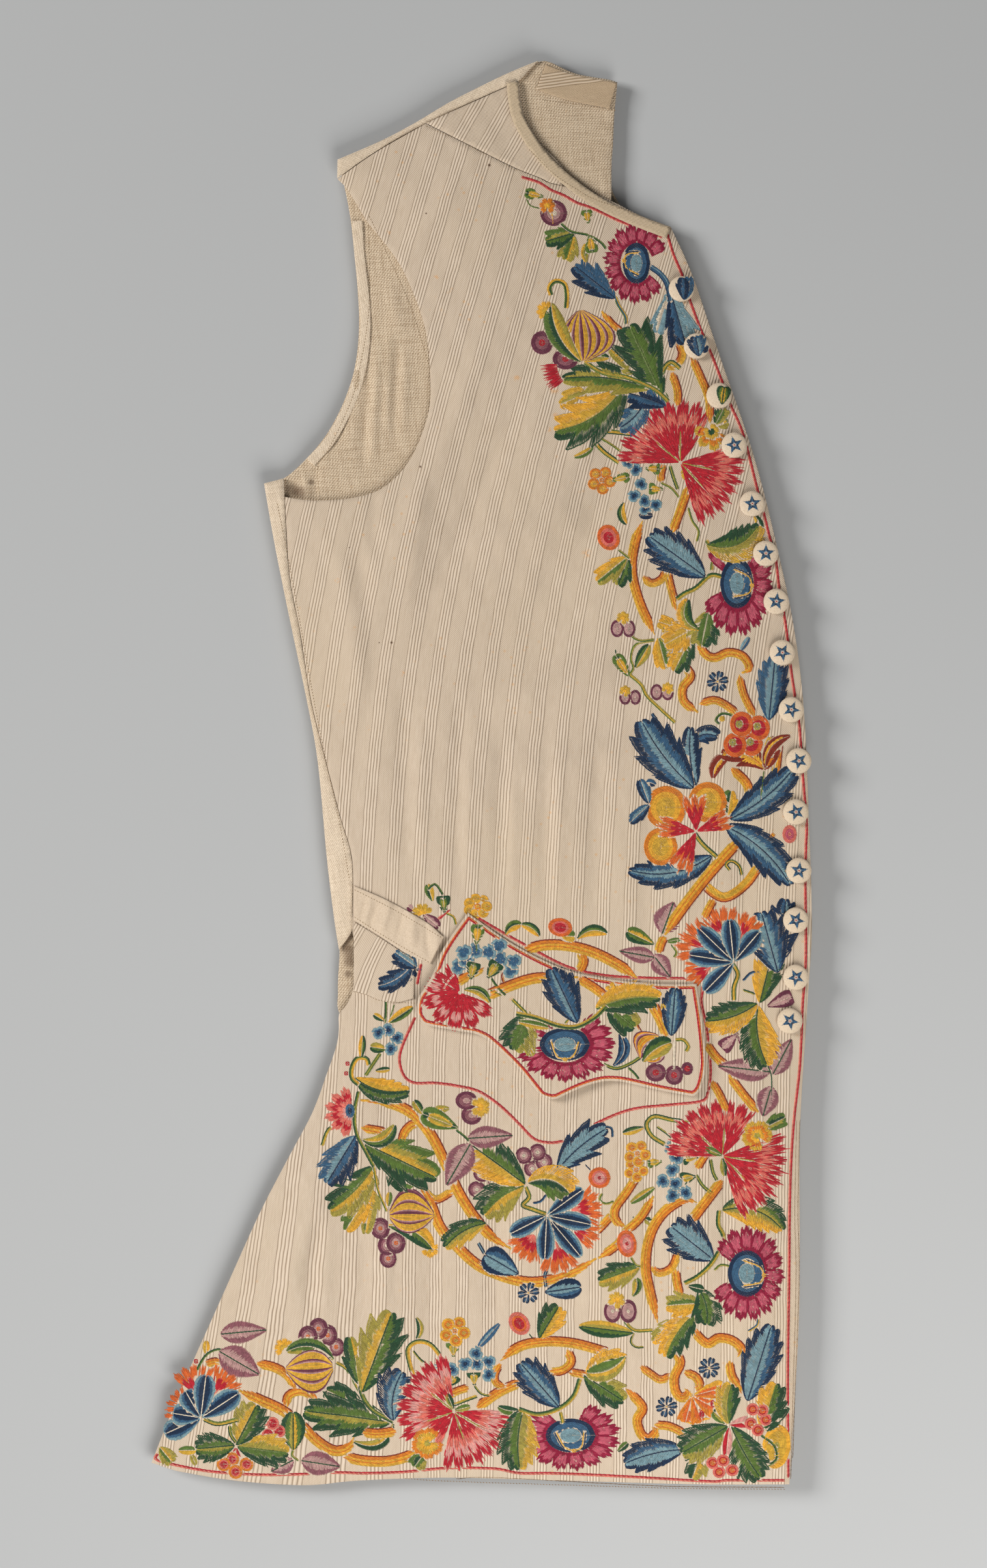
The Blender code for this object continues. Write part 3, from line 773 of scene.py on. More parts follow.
def stemRow(line, tone, wide=1.02, length=6.0, aside=0.0, lift=0.34, loose=False):
    line = rounded(line, 1.2)
    if len(line) < 3:
        return
    way = tangents(line)
    line = line + np.column_stack([way[:, 1], -way[:, 0]]) * aside
    steps = np.concatenate([[0], np.cumsum(np.linalg.norm(np.diff(line, axis=0), axis=1))])
    count = max(1, round(steps[-1] / length))
    for i in range(count):
        overlap = -0.22 if loose else 0.2
        at = (i + np.array([-overlap, 0.5, 1 + overlap])) * steps[-1] / count
        points = np.column_stack([np.interp(at, steps, line[:, k]) for k in (0, 1)])
        turn = way[min(len(way) - 1, int(np.searchsorted(steps, at[1])))]
        points += np.outer((0.4, 0.0, -0.4), (turn[1], -turn[0]))
        sew(points, tone, wide, lift)


def stem(line, *tones, gap=1.7, **settings):
    for i, tone in enumerate(tones):
        stemRow(line, tone, aside=(i - (len(tones) - 1) / 2) * gap, **settings)
    settle()


def longAndShort(start, end, tones, wide=1.02, loose=0.13):
    run = end - start
    marks = [0.0] + [(k + rng.uniform(-loose, loose) * 2) / len(tones) for k in range(1, len(tones))] + [1.0]
    for tone, a, b in zip(tones, marks, marks[1:]):
        sew([start + run * max(a - 0.1, 0), start + run * (a + b) / 2, start + run * b], tone, wide)


# A leaf or petal: slanting stitches on both sides of a bent vein, from base to tip.
# Its tones run from the vein out.
def leaf(
    base, tip, width, left, right=None, lobes=0, depth=0.45, bend=0.0, vein=None, slant=0.7, full=0.8,
    blunt=0.7,
    spacing=1.62,
):
    base, tip = np.array(base, float), np.array(tip, float)
    run = tip - base
    length = np.hypot(*run)
    knee = (base + tip) / 2 + np.array([run[1], -run[0]]) * bend * 2

    def axis(t):
        return (1 - t) ** 2 * base + 2 * t * (1 - t) * knee + t * t * tip

    def normal(t):
        way = (1 - t) * (knee - base) + t * (tip - knee)
        return np.array([way[1], -way[0]]) / max(np.hypot(*way), 1e-9)

    for sign, tones in ((1, left), (-1, right or left)):
        tones = tones.split()
        count = max(3, round(length / spacing))
        outline = []
        for i in range(count):
            t = (i + 0.5) / count
            lobe = (t * lobes + (0.1 if sign > 0 else 0.55)) % 1 if lobes else 1.0
            reach = width / 2 * math.sin(math.pi * t**full) ** blunt * (1 - depth * (1 - lobe**0.8))
            reach *= 1.25 if lobes else 1.0
            reach *= rng.uniform(0.97, 1.03)
            forward = min(1.0, t + slant * reach * (0.6 + 0.6 * lobe) / length)
            end = axis(forward) + normal(forward) * reach * sign
            start = axis(t) + normal(t) * 0.5 * sign
            if np.hypot(*(end - start)) > 1.6:
                longAndShort(start, end, tones if reach > 4.5 else tones[-1:])
                outline.append(end)
        if lobes:
            stemRow(outline[::2], tones[-1], length=5, lift=0.4)
    if vein:
        stemRow([axis(t) for t in np.linspace(0, 0.96, 5)], vein, lift=0.55)
    settle()


# Petals spread round a point, in rings of long and short stitches with a ragged rim. Tones run outwards.
def fan(
    centre, heading, spread, radius, tones, inner=0.0, lobes=4, ragged=0.2, squash=(1.0, 1.0), between=None,
):
    centre, tones = np.array(centre, float), tones.split()
    heading, spread = math.radians(heading), math.radians(spread)
    for ring, tone in enumerate(tones):
        low, high = ring / len(tones), (ring + 1) / len(tones)
        count = max(3, round(spread * (inner + (radius - inner) * (low * 0.35 + high * 0.65)) / 1.6))
        for i in range(count):
            share = (i + rng.uniform(0.3, 0.7)) / count
            angle = heading + (share - 0.5) * spread
            crest = abs(math.sin(math.pi * share * lobes))
            spike = abs((share * lobes * 3) % 1 - 0.5) * 2
            rim = radius * (1 - ragged * (1 - crest) ** 1.5 - 0.1 * spike + rng.uniform(-0.02, 0.04))
            a = inner + (rim - inner) * max(0.0, low + rng.uniform(-0.14, 0.0) * (ring > 0))
            b = inner + (rim - inner) * (high + rng.uniform(-0.06, 0.06) * (high < 1))
            way = np.array([math.cos(angle) * squash[0], -math.sin(angle) * squash[1]])
            parting = between and crest < 0.42 and 0 < ring
            sew(
                [centre + way * a, centre + way * (a + b) / 2, centre + way * b],
                between if parting else tone,
            )
    settle()


# An oval filled with rows that run round it, the first tone outside
def oval(centre, across, down, tones, tilt=0.0, spacing=1.7):
    tones = tones.split()
    rows = max(1, round((min(across, down) + 2 * max(across, down)) / 6 / spacing))
    c, s = math.cos(math.radians(tilt)), -math.sin(math.radians(tilt))
    for row in range(rows):
        share = 1 - (row + 0.5) / rows
        angles = np.linspace(0, 2 * math.pi, 9)
        x, y = np.cos(angles) * across / 2 * share, np.sin(angles) * down / 2 * share
        line = np.column_stack([centre[0] + x * c - y * s, centre[1] + x * s + y * c])
        tone = tones[min(len(tones) - 1, int(row / rows * len(tones)))]
        if share * min(across, down) < 3:
            sew([line[0], line.mean(0), line[4]], tone)
        else:
            stemRow(line, tone, length=4.5)
    settle()


# Gold strapwork: rows side by side, dark on its left, that thin out to points
def strap(line, width=13, start=0.2, end=0.2, tones="brown amber amber gold amber gold yellow"):
    line, tones = rounded(line, 3), tones.split()
    rows = max(2, round(width / 1.75))
    for row in range(rows):
        share = (row + 0.5) / rows
        off = abs(share - 0.5) * 2
        a, b = int(len(line) * start * off * 0.7), len(line) - int(len(line) * end * off * 0.7)
        if b - a > 3:
            tone = tones[min(len(tones) - 1, int(share * len(tones)))]
            stemRow(line[a:b:2], tone, aside=(0.5 - share) * width, length=7)
    settle()


# Composite flowers. What is worked first lies on top, and later stitches stop at it.
def crimsonFlower(centre, heart, petals, away, tones="crimson rose rose crimson", gap=50):
    (x, y), (w, h) = centre, heart
    upright = h > w
    c, s = math.cos(math.radians(away)), -math.sin(math.radians(away))
    dot = (x + c * w * 0.46, y + s * h * 0.46)
    oval(dot, 7, 7, "gold")
    for side in (1, -1):
        aside = np.array([0, side * h * 0.17] if upright else [side * w * 0.17, 0])
        bow = np.array([0, side * h * 0.1] if upright else [side * w * 0.1, 0])
        inner = np.array([x, y]) + aside + bow - np.array([c * w, s * h]) * 0.1
        line = [np.array(dot) + aside * 0.15, np.array(dot) + aside - np.array([c * w, s * h]) * 0.12, inner]
        stem(line, "gold")
        stem([p + aside * 0.22 for p in line], "navy")
    oval((x, y), w * 0.42, h * 0.42, "sky")
    oval(centre, w, h, "navy blue blue sky sky")
    radius = max(petals) / 2
    squash = (petals[0] / 2 / radius, petals[1] / 2 / radius)
    inner = max(w, h) / 2 * 0.94
    fan(centre, away, 360 - gap, radius, tones, inner, 13, 0.16, squash, between="crimson")


def carnation(base, *fans, tones="red red red red salmon red", lobes=9):
    for heading, spread, radius in fans:
        for turn in (-0.22, 0.2):
            angle = math.radians(heading + turn * spread)
            way = np.array([math.cos(angle), -math.sin(angle)])
            stem([np.array(base) + way * radius * t for t in (0.04, 0.25, 0.5)], "lime")
    for heading, spread, radius in fans:
        fan(base, heading, spread * 1.1, radius * 1.02, tones, 3, lobes, 0.2)


def petalFlower(base, petals, fringes, width=27, tones="navy navy blue sky"):
    for tip in petals:
        leaf(base, tip, width, tones, vein="pale", full=1.1, slant=0.5)
    for tip in fringes:
        run = np.array(tip, float) - base
        heading = math.degrees(math.atan2(-run[1], run[0]))
        start = np.array(base) + run * 0.45
        fan(start, heading, 100, np.hypot(*run) * 0.62, "salmon red orange", 2, 5, 0.3)


def berries(*places, size=19, tones="navy blue sky"):
    for k, place in enumerate(places):
        fan(place, 70 * k, 358, size * 0.56, tones, 0.6, 2.5, 0.34)


def bud(base, tip, width=15, tones="forest green", heart="gold yellow"):
    base, tip = np.array(base, float), np.array(tip, float)
    leaf(base + (tip - base) * 0.12, tip - (tip - base) * 0.18, width * 0.55, heart, full=1.0)
    leaf(base, tip, width, tones, full=1.0)


def heart(base, tip, width=26, tones="mauve dusk", vein="forest"):
    leaf(base, tip, width * 1.08, tones, vein=vein, full=0.56, blunt=0.95, slant=0.3)


def curl(line, *tones):
    stem(line, *(tones or ("forest", "green", "yellow", "gold")))


def rosette(centre, size=34, tones="amber gold yellow"):
    oval(centre, 8, 8, "amber")
    for k in range(5):
        a = math.radians(72 * k + 10)
        oval(
            (centre[0] + math.cos(a) * size * 0.3, centre[1] + math.sin(a) * size * 0.3), size * 0.42,
            size * 0.4, tones,
        )


def pansy(centre, size=24, tones="plum mauve mauve pale", tuft=(0.3, -0.35)):
    fan(
        (centre[0] + size * tuft[0], centre[1] + size * tuft[1]), 60, 330, size * 0.36, "gold yellow", 0, 6,
        0.3,
    )
    for side in (-0.3, 0.3):
        oval((centre[0] + size * side, centre[1] + size * 0.12), size * 0.66, size * 0.9, tones)


def smallFlower(centre, size=15, petals=6, tones="blue navy", eye="gold"):
    oval(centre, 5, 5, eye)
    for k in range(petals):
        a = math.radians(360 / petals * k + 12)
        leaf(
            centre, (centre[0] + math.cos(a) * size, centre[1] - math.sin(a) * size), size * 0.62, tones,
            full=1.3, slant=0.4,
        )


def bulb(base, tip, width, bend=0.0, tones="gold gold yellow gold"):
    base, tip = np.array(base, float), np.array(tip, float)
    run = tip - base
    aside = np.array([run[1], -run[0]]) / max(np.hypot(*run), 1e-9) * width
    rows = round(width * 1.12 / 1.75)
    band, plain = "plum dusk mauve".split(), tones.split() * 2
    pattern = ["plum", *band, *plain, *band, *plain]
    for row in range(rows):
        share = (row + 0.5) / rows - 0.5
        edge = abs(share) * rows > rows / 2 - 1
        line = [
            base + run * t + aside * math.sin(math.pi * t**0.85) ** 0.8 * (share * 1.12 + bend)
            for t in np.linspace(0.02, 0.98, 7)
        ]
        stemRow(line, "plum" if edge else pattern[(row + 2) % len(pattern)], length=7)
    settle()


def cord(line, near="red", far="salmon", length=7, loose=False):
    stemRow(line, near, 1.25, length, 1.1, loose=loose)
    stemRow(line, far, 1.1, length, -1.1, loose=loose)
    settle()


def neckSpray():
    crimsonFlower((977, 404), (42, 64), (104, 128), 172, gap=55)
    stem([(994, 407), (1013, 420), (1024, 436), (1030, 462)], "navy", "blue", "blue", "sky", "blue")
    leaf((1026, 436), (1052, 528), 44, "sky sky", "blue navy", 3, 0.5, vein="navy", full=1.6)
    leaf((1028, 440), (1008, 512), 22, "sky", "pale sky", 2, 0.5, full=1.7)
    bud((903, 343), (900, 322), 17)
    bud((905, 360), (909, 388), 20)
    leaf((908, 366), (900, 404), 12, "green lime", "lime yellow", bend=-0.15)
    stem([(861, 343), (876, 355), (903, 361), (922, 372), (930, 382)], "forest", "green")
    leaf((882, 357), (837, 371), 28, "green forest", "lime green", 2, 0.5, vein="forest")
    leaf((880, 360), (868, 400), 28, "yellow lime", "green lime", 2, 0.5, vein="green")
    fan((840, 316), 90, 330, 13, "gold amber", 0, 6, 0.3)
    stem([(843, 318), (848, 332), (849, 345)], "gold")
    oval((850, 327), 42, 40, "plum dusk mauve pale")
    bud((834, 302), (806, 296), 17)
    stem([(808, 306), (814, 316), (828, 320)], "green")
    leaf((944, 458), (881, 408), 40, "blue navy", "blue blue", 3, 0.55, vein="navy")
    stem([(944, 456), (950, 470), (960, 486), (961, 498)], "green", "blue", "yellow")
    curl(
        [(846, 454), (843, 442), (852, 432), (866, 436), (870, 452), (869, 474)], "green", "forest",
        "yellow", "gold",
    )
    fan((838, 478), 150, 200, 16, "yellow gold", 0, 5, 0.3)
    leaf((892, 556), (846, 466), 34, "forest green", "yellow lime", bend=0.12, full=0.9)
    bulb((895, 556), (890, 476), 76, -0.12, "yellow gold")
    fan((895, 560), 200, 40, 66, "red", 40, 3, 0.1)
    oval((832, 527), 34, 36, "plum dusk red")
    oval((850, 515), 36, 32, "plum dusk red")
    oval((868, 552), 40, 32, "plum dusk red")
    leaf((895, 556), (935, 550), 15, "green forest", "lime yellow", bend=0.1)
    stem([(893, 554), (925, 573), (962, 580), (1004, 598), (1026, 617)], "green", "lime", "yellow", "green")
    leaf((1018, 612), (966, 500), 66, "green forest", "green forest", 3, 0.62, vein="green", full=1.2)
    leaf((1005, 590), (936, 534), 28, "yellow lime", "green lime", 2, 0.5)
    leaf((985, 545), (964, 502), 20, "yellow gold", "green lime", 1, 0.3)
    leaf((1006, 592), (999, 522), 28, "green", "green forest", 2, 0.4)
    leaf((1000, 597), (862, 582), 44, "green lime", "lime forest", 3, 0.5, bend=-0.06, vein="forest")
    leaf((960, 590), (850, 663), 66, "green forest", "yellow gold", 4, 0.6, bend=0.12, vein="green")
    leaf((925, 596), (858, 622), 30, "yellow gold", "lime yellow", 2, 0.4)
    leaf((1022, 624), (938, 600), 36, "blue navy", "navy blue", 2, 0.5, bend=-0.04, vein="navy")
    leaf((992, 610), (950, 658), 36, "sky blue", "sky blue", 3, 0.5, bend=0.1, vein="navy")
    curl(
        [(1044, 566), (1030, 556), (1018, 568), (1014, 592), (1026, 616)], "forest", "lime", "yellow",
        "green",
    )
    strap([(923, 478), (938, 498), (958, 514)], 14, 0.5, 0.1)
    strap([(984, 524), (1000, 540), (1016, 562)], 14)
    strap([(1041, 524), (1047, 545), (1036, 562), (1018, 560)], 13, tones="yellow gold gold amber brown")
    strap([(1031, 572), (1040, 600), (1040, 626)], 13)
    strap([(1060, 545), (1076, 580), (1088, 612), (1090, 650)], 13)


def breastSpray():
    fan((1092, 663), -60, 320, 13, "forest yellow", 0, 6, 0.2)
    fan((1094, 664), 250, 200, 30, "gold amber yellow", 8, 4, 0.4)
    leaf((1098, 652), (1112, 625), 20, "green forest", "green lime", 2, 0.4)
    leaf((1100, 655), (1118, 648), 14, "yellow green", "lime", 1, 0.3)
    carnation((1044, 711), (116, 118, 98), (-28, 84, 100))
    leaf((1044, 711), (1014, 704), 9, "yellow", "forest")
    leaf((1048, 712), (1052, 738), 11, "green forest", "yellow")
    stem([(1028, 716), (1034, 736), (1040, 752)], "forest", "lime", "green")
    curl(
        [(968, 667), (940, 664), (918, 664), (912, 676), (924, 692), (950, 711)], "green", "yellow",
        "yellow", "forest",
    )
    stem([(918, 672), (936, 682), (956, 696)], "green", "lime")
    leaf((912, 684), (879, 703), 10, "green", "yellow", bend=0.1)
    berries(
        (980, 698), (995, 700), (964, 711), (976, 722), (984, 744), (973, 762), (989, 770), (1006, 776),
        (990, 782),
    )
    oval((991, 792), 22, 12, "navy")
    bud((990, 720), (1012, 721), 18)
    bud((1018, 752), (996, 751), 18)
    bud((938, 738), (966, 733), 16, "forest green")
    stem([(1012, 721), (1022, 718)], "green")
    stem([(1014, 742), (1030, 750), (1042, 764)], "green", "lime")
    rosette((923, 738), 44)
    leaf((958, 772), (962, 806), 13, "yellow gold", "green forest", bend=-0.2)
    oval((934, 826), 34, 40, "orange salmon red red", 20)
    stem([(949, 845), (958, 852), (966, 858)], "green", "lime")
    leaf((962, 856), (915, 894), 28, "green lime", "yellow gold", 2, 0.5)
    leaf((964, 858), (948, 900), 26, "green forest", "green lime", 2, 0.5, vein="forest")
    leaf(
        (1084, 838), (1166, 806), 44, "green forest", "lime yellow", 6, 0.3, bend=-0.2, vein="lime",
        full=0.7,
    )
    leaf((1156, 790), (1166, 819), 13, "forest", "yellow", bend=0.15)
    stem([(1069, 832), (1072, 816), (1062, 800), (1056, 780)], "green", "lime")
    leaf((1082, 886), (995, 823), 54, "sky blue navy", "sky sky navy", 5, 0.4, vein="navy")
    crimsonFlower((1131, 896), (51, 78), (116, 166), -5)
    stem(
        [(1108, 886), (1090, 884), (1068, 903), (1050, 912), (1038, 921)], "forest", "green", "yellow",
        "lime",
    )
    stem([(1084, 830), (1093, 850), (1092, 876)], "green", "lime", "yellow")
    leaf((1074, 968), (1056, 920), 24, "lime gold", "green forest", bend=0.3)
    leaf((1088, 936), (1076, 992), 40, "green forest", "green lime", 3, 0.4)
    leaf((1080, 956), (1020, 990), 40, "yellow gold", "yellow gold", 4, 0.5)
    leaf((1062, 975), (1034, 1032), 34, "green forest", "yellow gold", 3, 0.5)
    leaf((1010, 980), (1022, 1028), 26, "green lime", "yellow gold", 2, 0.3)
    leaf((1042, 965), (1010, 955), 22, "gold yellow", "yellow gold", 2, 0.4)
    pansy((956, 962), 30, tuft=(0.0, -0.42))
    stem([(965, 975), (982, 984), (1004, 982)], "green", "lime")
    leaf((1136, 1000), (1150, 978), 9, "sky", "blue")
    strap([(1018, 714), (1014, 730), (1016, 742)], 13)
    strap([(1058, 745), (1044, 785), (1030, 822)], 14)
    strap([(1021, 860), (1018, 886), (1000, 896), (984, 884)], 13, tones="yellow gold gold amber brown")
    strap([(1022, 862), (1028, 896), (1040, 940)], 13)
    strap([(986, 800), (974, 836), (970, 878), (982, 926), (1006, 978)], 15)


def waistSpray():
    bud((966, 1040), (944, 1006), 20)
    stem([(946, 1008), (944, 998)], "forest")
    leaf((975, 1026), (996, 990), 18, "green forest", "yellow lime")
    curl([(1004, 984), (976, 990), (968, 1010), (972, 1026), (966, 1036)], "green", "lime")
    stem([(966, 1036), (984, 1052), (992, 1068), (1010, 1086), (1036, 1110)], "green", "yellow", "lime")
    pansy((967, 1068), 26, tuft=(-0.3, -0.25))
    pansy((1016, 1060), 28, tuft=(0.3, -0.1))
    smallFlower((1101, 1047), 17)
    leaf((1180, 1106), (1190, 1006), 42, "sky blue", "sky blue navy", 5, 0.4, vein="navy")
    stem([(1173, 1106), (1166, 1066), (1176, 1030)], "navy")
    for place in ((1134, 1112), (1162, 1116), (1124, 1140), (1151, 1140)):
        oval(place, 11, 12, "lime green")
    for place in ((1138, 1112), (1164, 1118), (1128, 1144), (1153, 1142)):
        oval(place, 36, 38, "orange red red")
    leaf((1174, 1180), (1214, 1130), 17, "gold brown", "brown brown", bend=0.2)
    leaf((1172, 1182), (1184, 1130), 20, "gold yellow", "amber brown", 1, 0.3, bend=-0.1)
    leaf((1174, 1182), (1106, 1158), 34, "gold brown", "gold brown", 2, 0.5, bend=-0.16, vein="amber")
    leaf((1130, 1160), (1094, 1196), 20, "gold brown", "brown", bend=-0.25)
    stem([(1172, 1184), (1170, 1204), (1168, 1222)], "green")
    curl([(1128, 1100), (1108, 1096), (1098, 1106), (1104, 1112)], "green", "forest")
    oval((1108, 1104), 9, 9, "yellow")
    leaf((1064, 1210), (984, 1106), 60, "sky blue navy", "sky blue navy", 4, 0.35, vein="navy", bend=0.05)
    stem([(1000, 1096), (1010, 1110), (1018, 1128)], "navy", "blue", "navy")
    leaf((1068, 1206), (1060, 1116), 30, "sky navy", "sky navy", 3, 0.35, vein="navy", bend=0.06)
    leaf((1062, 1140), (1102, 1132), 24, "sky navy", "blue navy", 1, 0.3, vein="navy", bend=0.2)
    leaf((996, 1234), (982, 1196), 16, "blue navy", "sky blue", 1, 0.3)
    leaf((984, 1206), (1006, 1206), 12, "blue", "navy", bend=0.2)
    leaf((996, 1236), (966, 1264), 16, "blue navy", "sky blue", 2, 0.3)
    for heading, spread, radius in ((93, 46, 58), (22, 40, 58), (172, 40, 60), (246, 40, 68)):
        fan((1068, 1277), heading, spread, radius, "red red red orange", 3, 3, 0.3)
    oval((1022, 1240), 64, 66, "amber gold yellow yellow")
    oval((1086, 1232), 60, 62, "amber gold yellow yellow")
    oval((1014, 1300), 52, 58, "amber gold yellow yellow")
    stem([(1066, 1280), (1078, 1296), (1100, 1316)], "green", "yellow", "lime", "forest")
    leaf((1116, 1252), (1122, 1214), 20, "forest green", "yellow gold", 1, 0.3)
    leaf((1120, 1258), (1220, 1178), 46, "sky blue navy", "sky blue navy", 4, 0.35, vein="navy", bend=-0.06)
    leaf((1112, 1268), (1214, 1360), 48, "sky blue navy", "sky blue navy", 4, 0.35, vein="navy", bend=0.08)
    leaf((1092, 1314), (964, 1336), 40, "sky blue navy", "sky blue navy", 5, 0.35, vein="navy", bend=0.12)
    oval((1212, 1281), 22, 28, "salmon rose salmon")
    stem([(1210, 1274), (1214, 1290)], "red")
    curl([(1120, 1336), (1114, 1328), (1122, 1322), (1134, 1330), (1138, 1344)], "forest", "gold", "green")
    strap(
        [(1068, 986), (1084, 1006), (1098, 1010), (1118, 1002), (1140, 1008), (1150, 1026), (1138, 1034)],
        14,
    )
    strap([(1134, 1036), (1142, 1068), (1160, 1104)], 13)
    strap([(1034, 1010), (1060, 1036), (1048, 1056), (1050, 1078), (1074, 1096)], 14)
    strap([(1072, 1082), (1100, 1076), (1138, 1100)], 13)
    strap([(1122, 1180), (1146, 1204), (1154, 1238)], 15)
    strap([(1196, 1136), (1192, 1176), (1188, 1222)], 14)
    strap([(1142, 1282), (1090, 1340), (1046, 1396), (1020, 1436)], 17)
    strap(
        [(1172, 1316), (1146, 1356), (1112, 1378), (1084, 1362), (1080, 1348)], 15,
        tones="brown amber gold yellow yellow gold",
    )
    strap([(1188, 1280), (1176, 1296), (1172, 1312)], 13)
    strap([(1098, 1376), (1086, 1398), (1080, 1412)], 13)


def lowSpray():
    petalFlower((1126, 1477), [(1119, 1411), (1166, 1430), (1071, 1424), (1056, 1466), (1081, 1523)],
                [(1094, 1398), (1144, 1404), (1046, 1436), (1052, 1490)], 30)
    stem([(1124, 1480), (1132, 1496), (1126, 1516), (1126, 1536)], "forest", "yellow", "yellow", "green")
    stem([(1140, 1506), (1152, 1494), (1166, 1492)], "blue", "navy")
    leaf((1194, 1494), (1168, 1400), 56, "sky blue navy", "sky blue navy", 4, 0.5, vein="navy")
    leaf((1196, 1480), (1206, 1380), 44, "blue navy", "sky navy", 4, 0.45, vein="navy")
    leaf((1166, 1540), (1188, 1452), 40, "yellow gold", "green forest", 4, 0.45, vein="forest")
    leaf((1162, 1541), (1082, 1568), 42, "yellow gold", "green forest", 5, 0.4, vein="forest", bend=0.08)
    leaf((1163, 1544), (1178, 1638), 52, "yellow gold", "green forest", 6, 0.4, vein="forest", bend=-0.08)
    stem([(1166, 1542), (1160, 1528), (1140, 1520)], "forest", "lime")
    leaf((1176, 1546), (1216, 1530), 26, "mauve plum", "mauve plum", full=1.2)
    for tip in ((1112, 1570), (1152, 1566), (1108, 1610), (1150, 1606)):
        leaf((1131, 1588), tip, 24, "mauve plum", "mauve plum", full=1.1)
    stem([(1178, 1636), (1184, 1654), (1184, 1690)], "forest")
    heart((1182, 1646), (1098, 1636), 34)
    heart((1186, 1650), (1216, 1594), 32)
    heart((1184, 1668), (1170, 1716), 32)
    heart((1016, 1434), (1034, 1384), 40, "mauve dusk")
    heart((1004, 1470), (948, 1460), 24)
    heart((1002, 1466), (1030, 1502), 28)
    leaf((1004, 1450), (962, 1430), 24, "green forest", "yellow green", full=1.0)
    leaf((1046, 1442), (1024, 1446), 8, "green")
    stem([(1030, 1450), (1038, 1462), (1034, 1470)], "green", "lime")
    strap([(1020, 1438), (1014, 1450), (1010, 1466)], 14)
    strap([(1084, 1602), (1100, 1624), (1120, 1640)], 14)
    strap([(1118, 1650), (1142, 1682), (1166, 1710)], 14)
    strap([(1092, 1660), (1104, 1680), (1116, 1706)], 13)


def pocketTop():
    for k in range(7):
        a = math.radians(360 / 7 * k)
        oval((733 + math.cos(a) * 14, 1392 + math.sin(a) * 12), 17, 16, "gold yellow amber")
    oval((733, 1392), 14, 12, "amber gold")
    bud((682, 1402), (680, 1376), 22, "forest forest", "lime green")
    curl([(656, 1366), (668, 1358), (680, 1374)], "forest", "green")
    leaf((664, 1384), (656, 1358), 14, "forest green", "yellow")
    stem([(684, 1402), (696, 1408), (700, 1420)], "green", "yellow")
    fan((648, 1404), 110, 200, 18, "gold yellow", 0, 5, 0.3)
    leaf((650, 1404), (674, 1424), 18, "mauve plum", "mauve plum")
    leaf((640, 1402), (626, 1392), 12, "plum", "mauve")
    oval((860, 1424), 38, 28, "orange salmon red red", -10)
    leaf((776, 1436), (800, 1420), 16, "forest green", "yellow gold", bend=0.2)
    leaf((796, 1420), (828, 1438), 14, "green forest", "yellow gold", bend=0.15)
    leaf((886, 1442), (932, 1434), 18, "green forest", "yellow gold", bend=0.2)
    leaf((860, 1437), (882, 1438), 18, "green", "yellow")
    strap([(796, 1464), (830, 1452), (870, 1452), (910, 1462), (950, 1482), (978, 1502)], 17)
    strap([(890, 1460), (896, 1476), (888, 1494)], 15)
    for start, end in (((690, 1396), (646, 1436)), ((646, 1480), (640, 1512))):
        cord([start, tuple((np.array(start) + end) / 2), end])


def leafFragment():
    leaf((640, 1486), (606, 1462), 30, "blue navy", "sky blue", 3, 0.5)
    leaf((632, 1482), (580, 1514), 28, "blue navy", "blue navy", 3, 0.5, bend=0.1)
    leaf((626, 1470), (644, 1500), 18, "navy blue", "navy")
    for _ in range(34):
        x, y = rng.normal((623, 1502), (4.5, 8))
        sew(
            [(x, y), (x + 0.8, y + 0.8), (x + rng.uniform(-2, 2), y + 1.6)],
            rng.choice(["pale", "pale", "navy"]), 0.6,
        )
    settle()


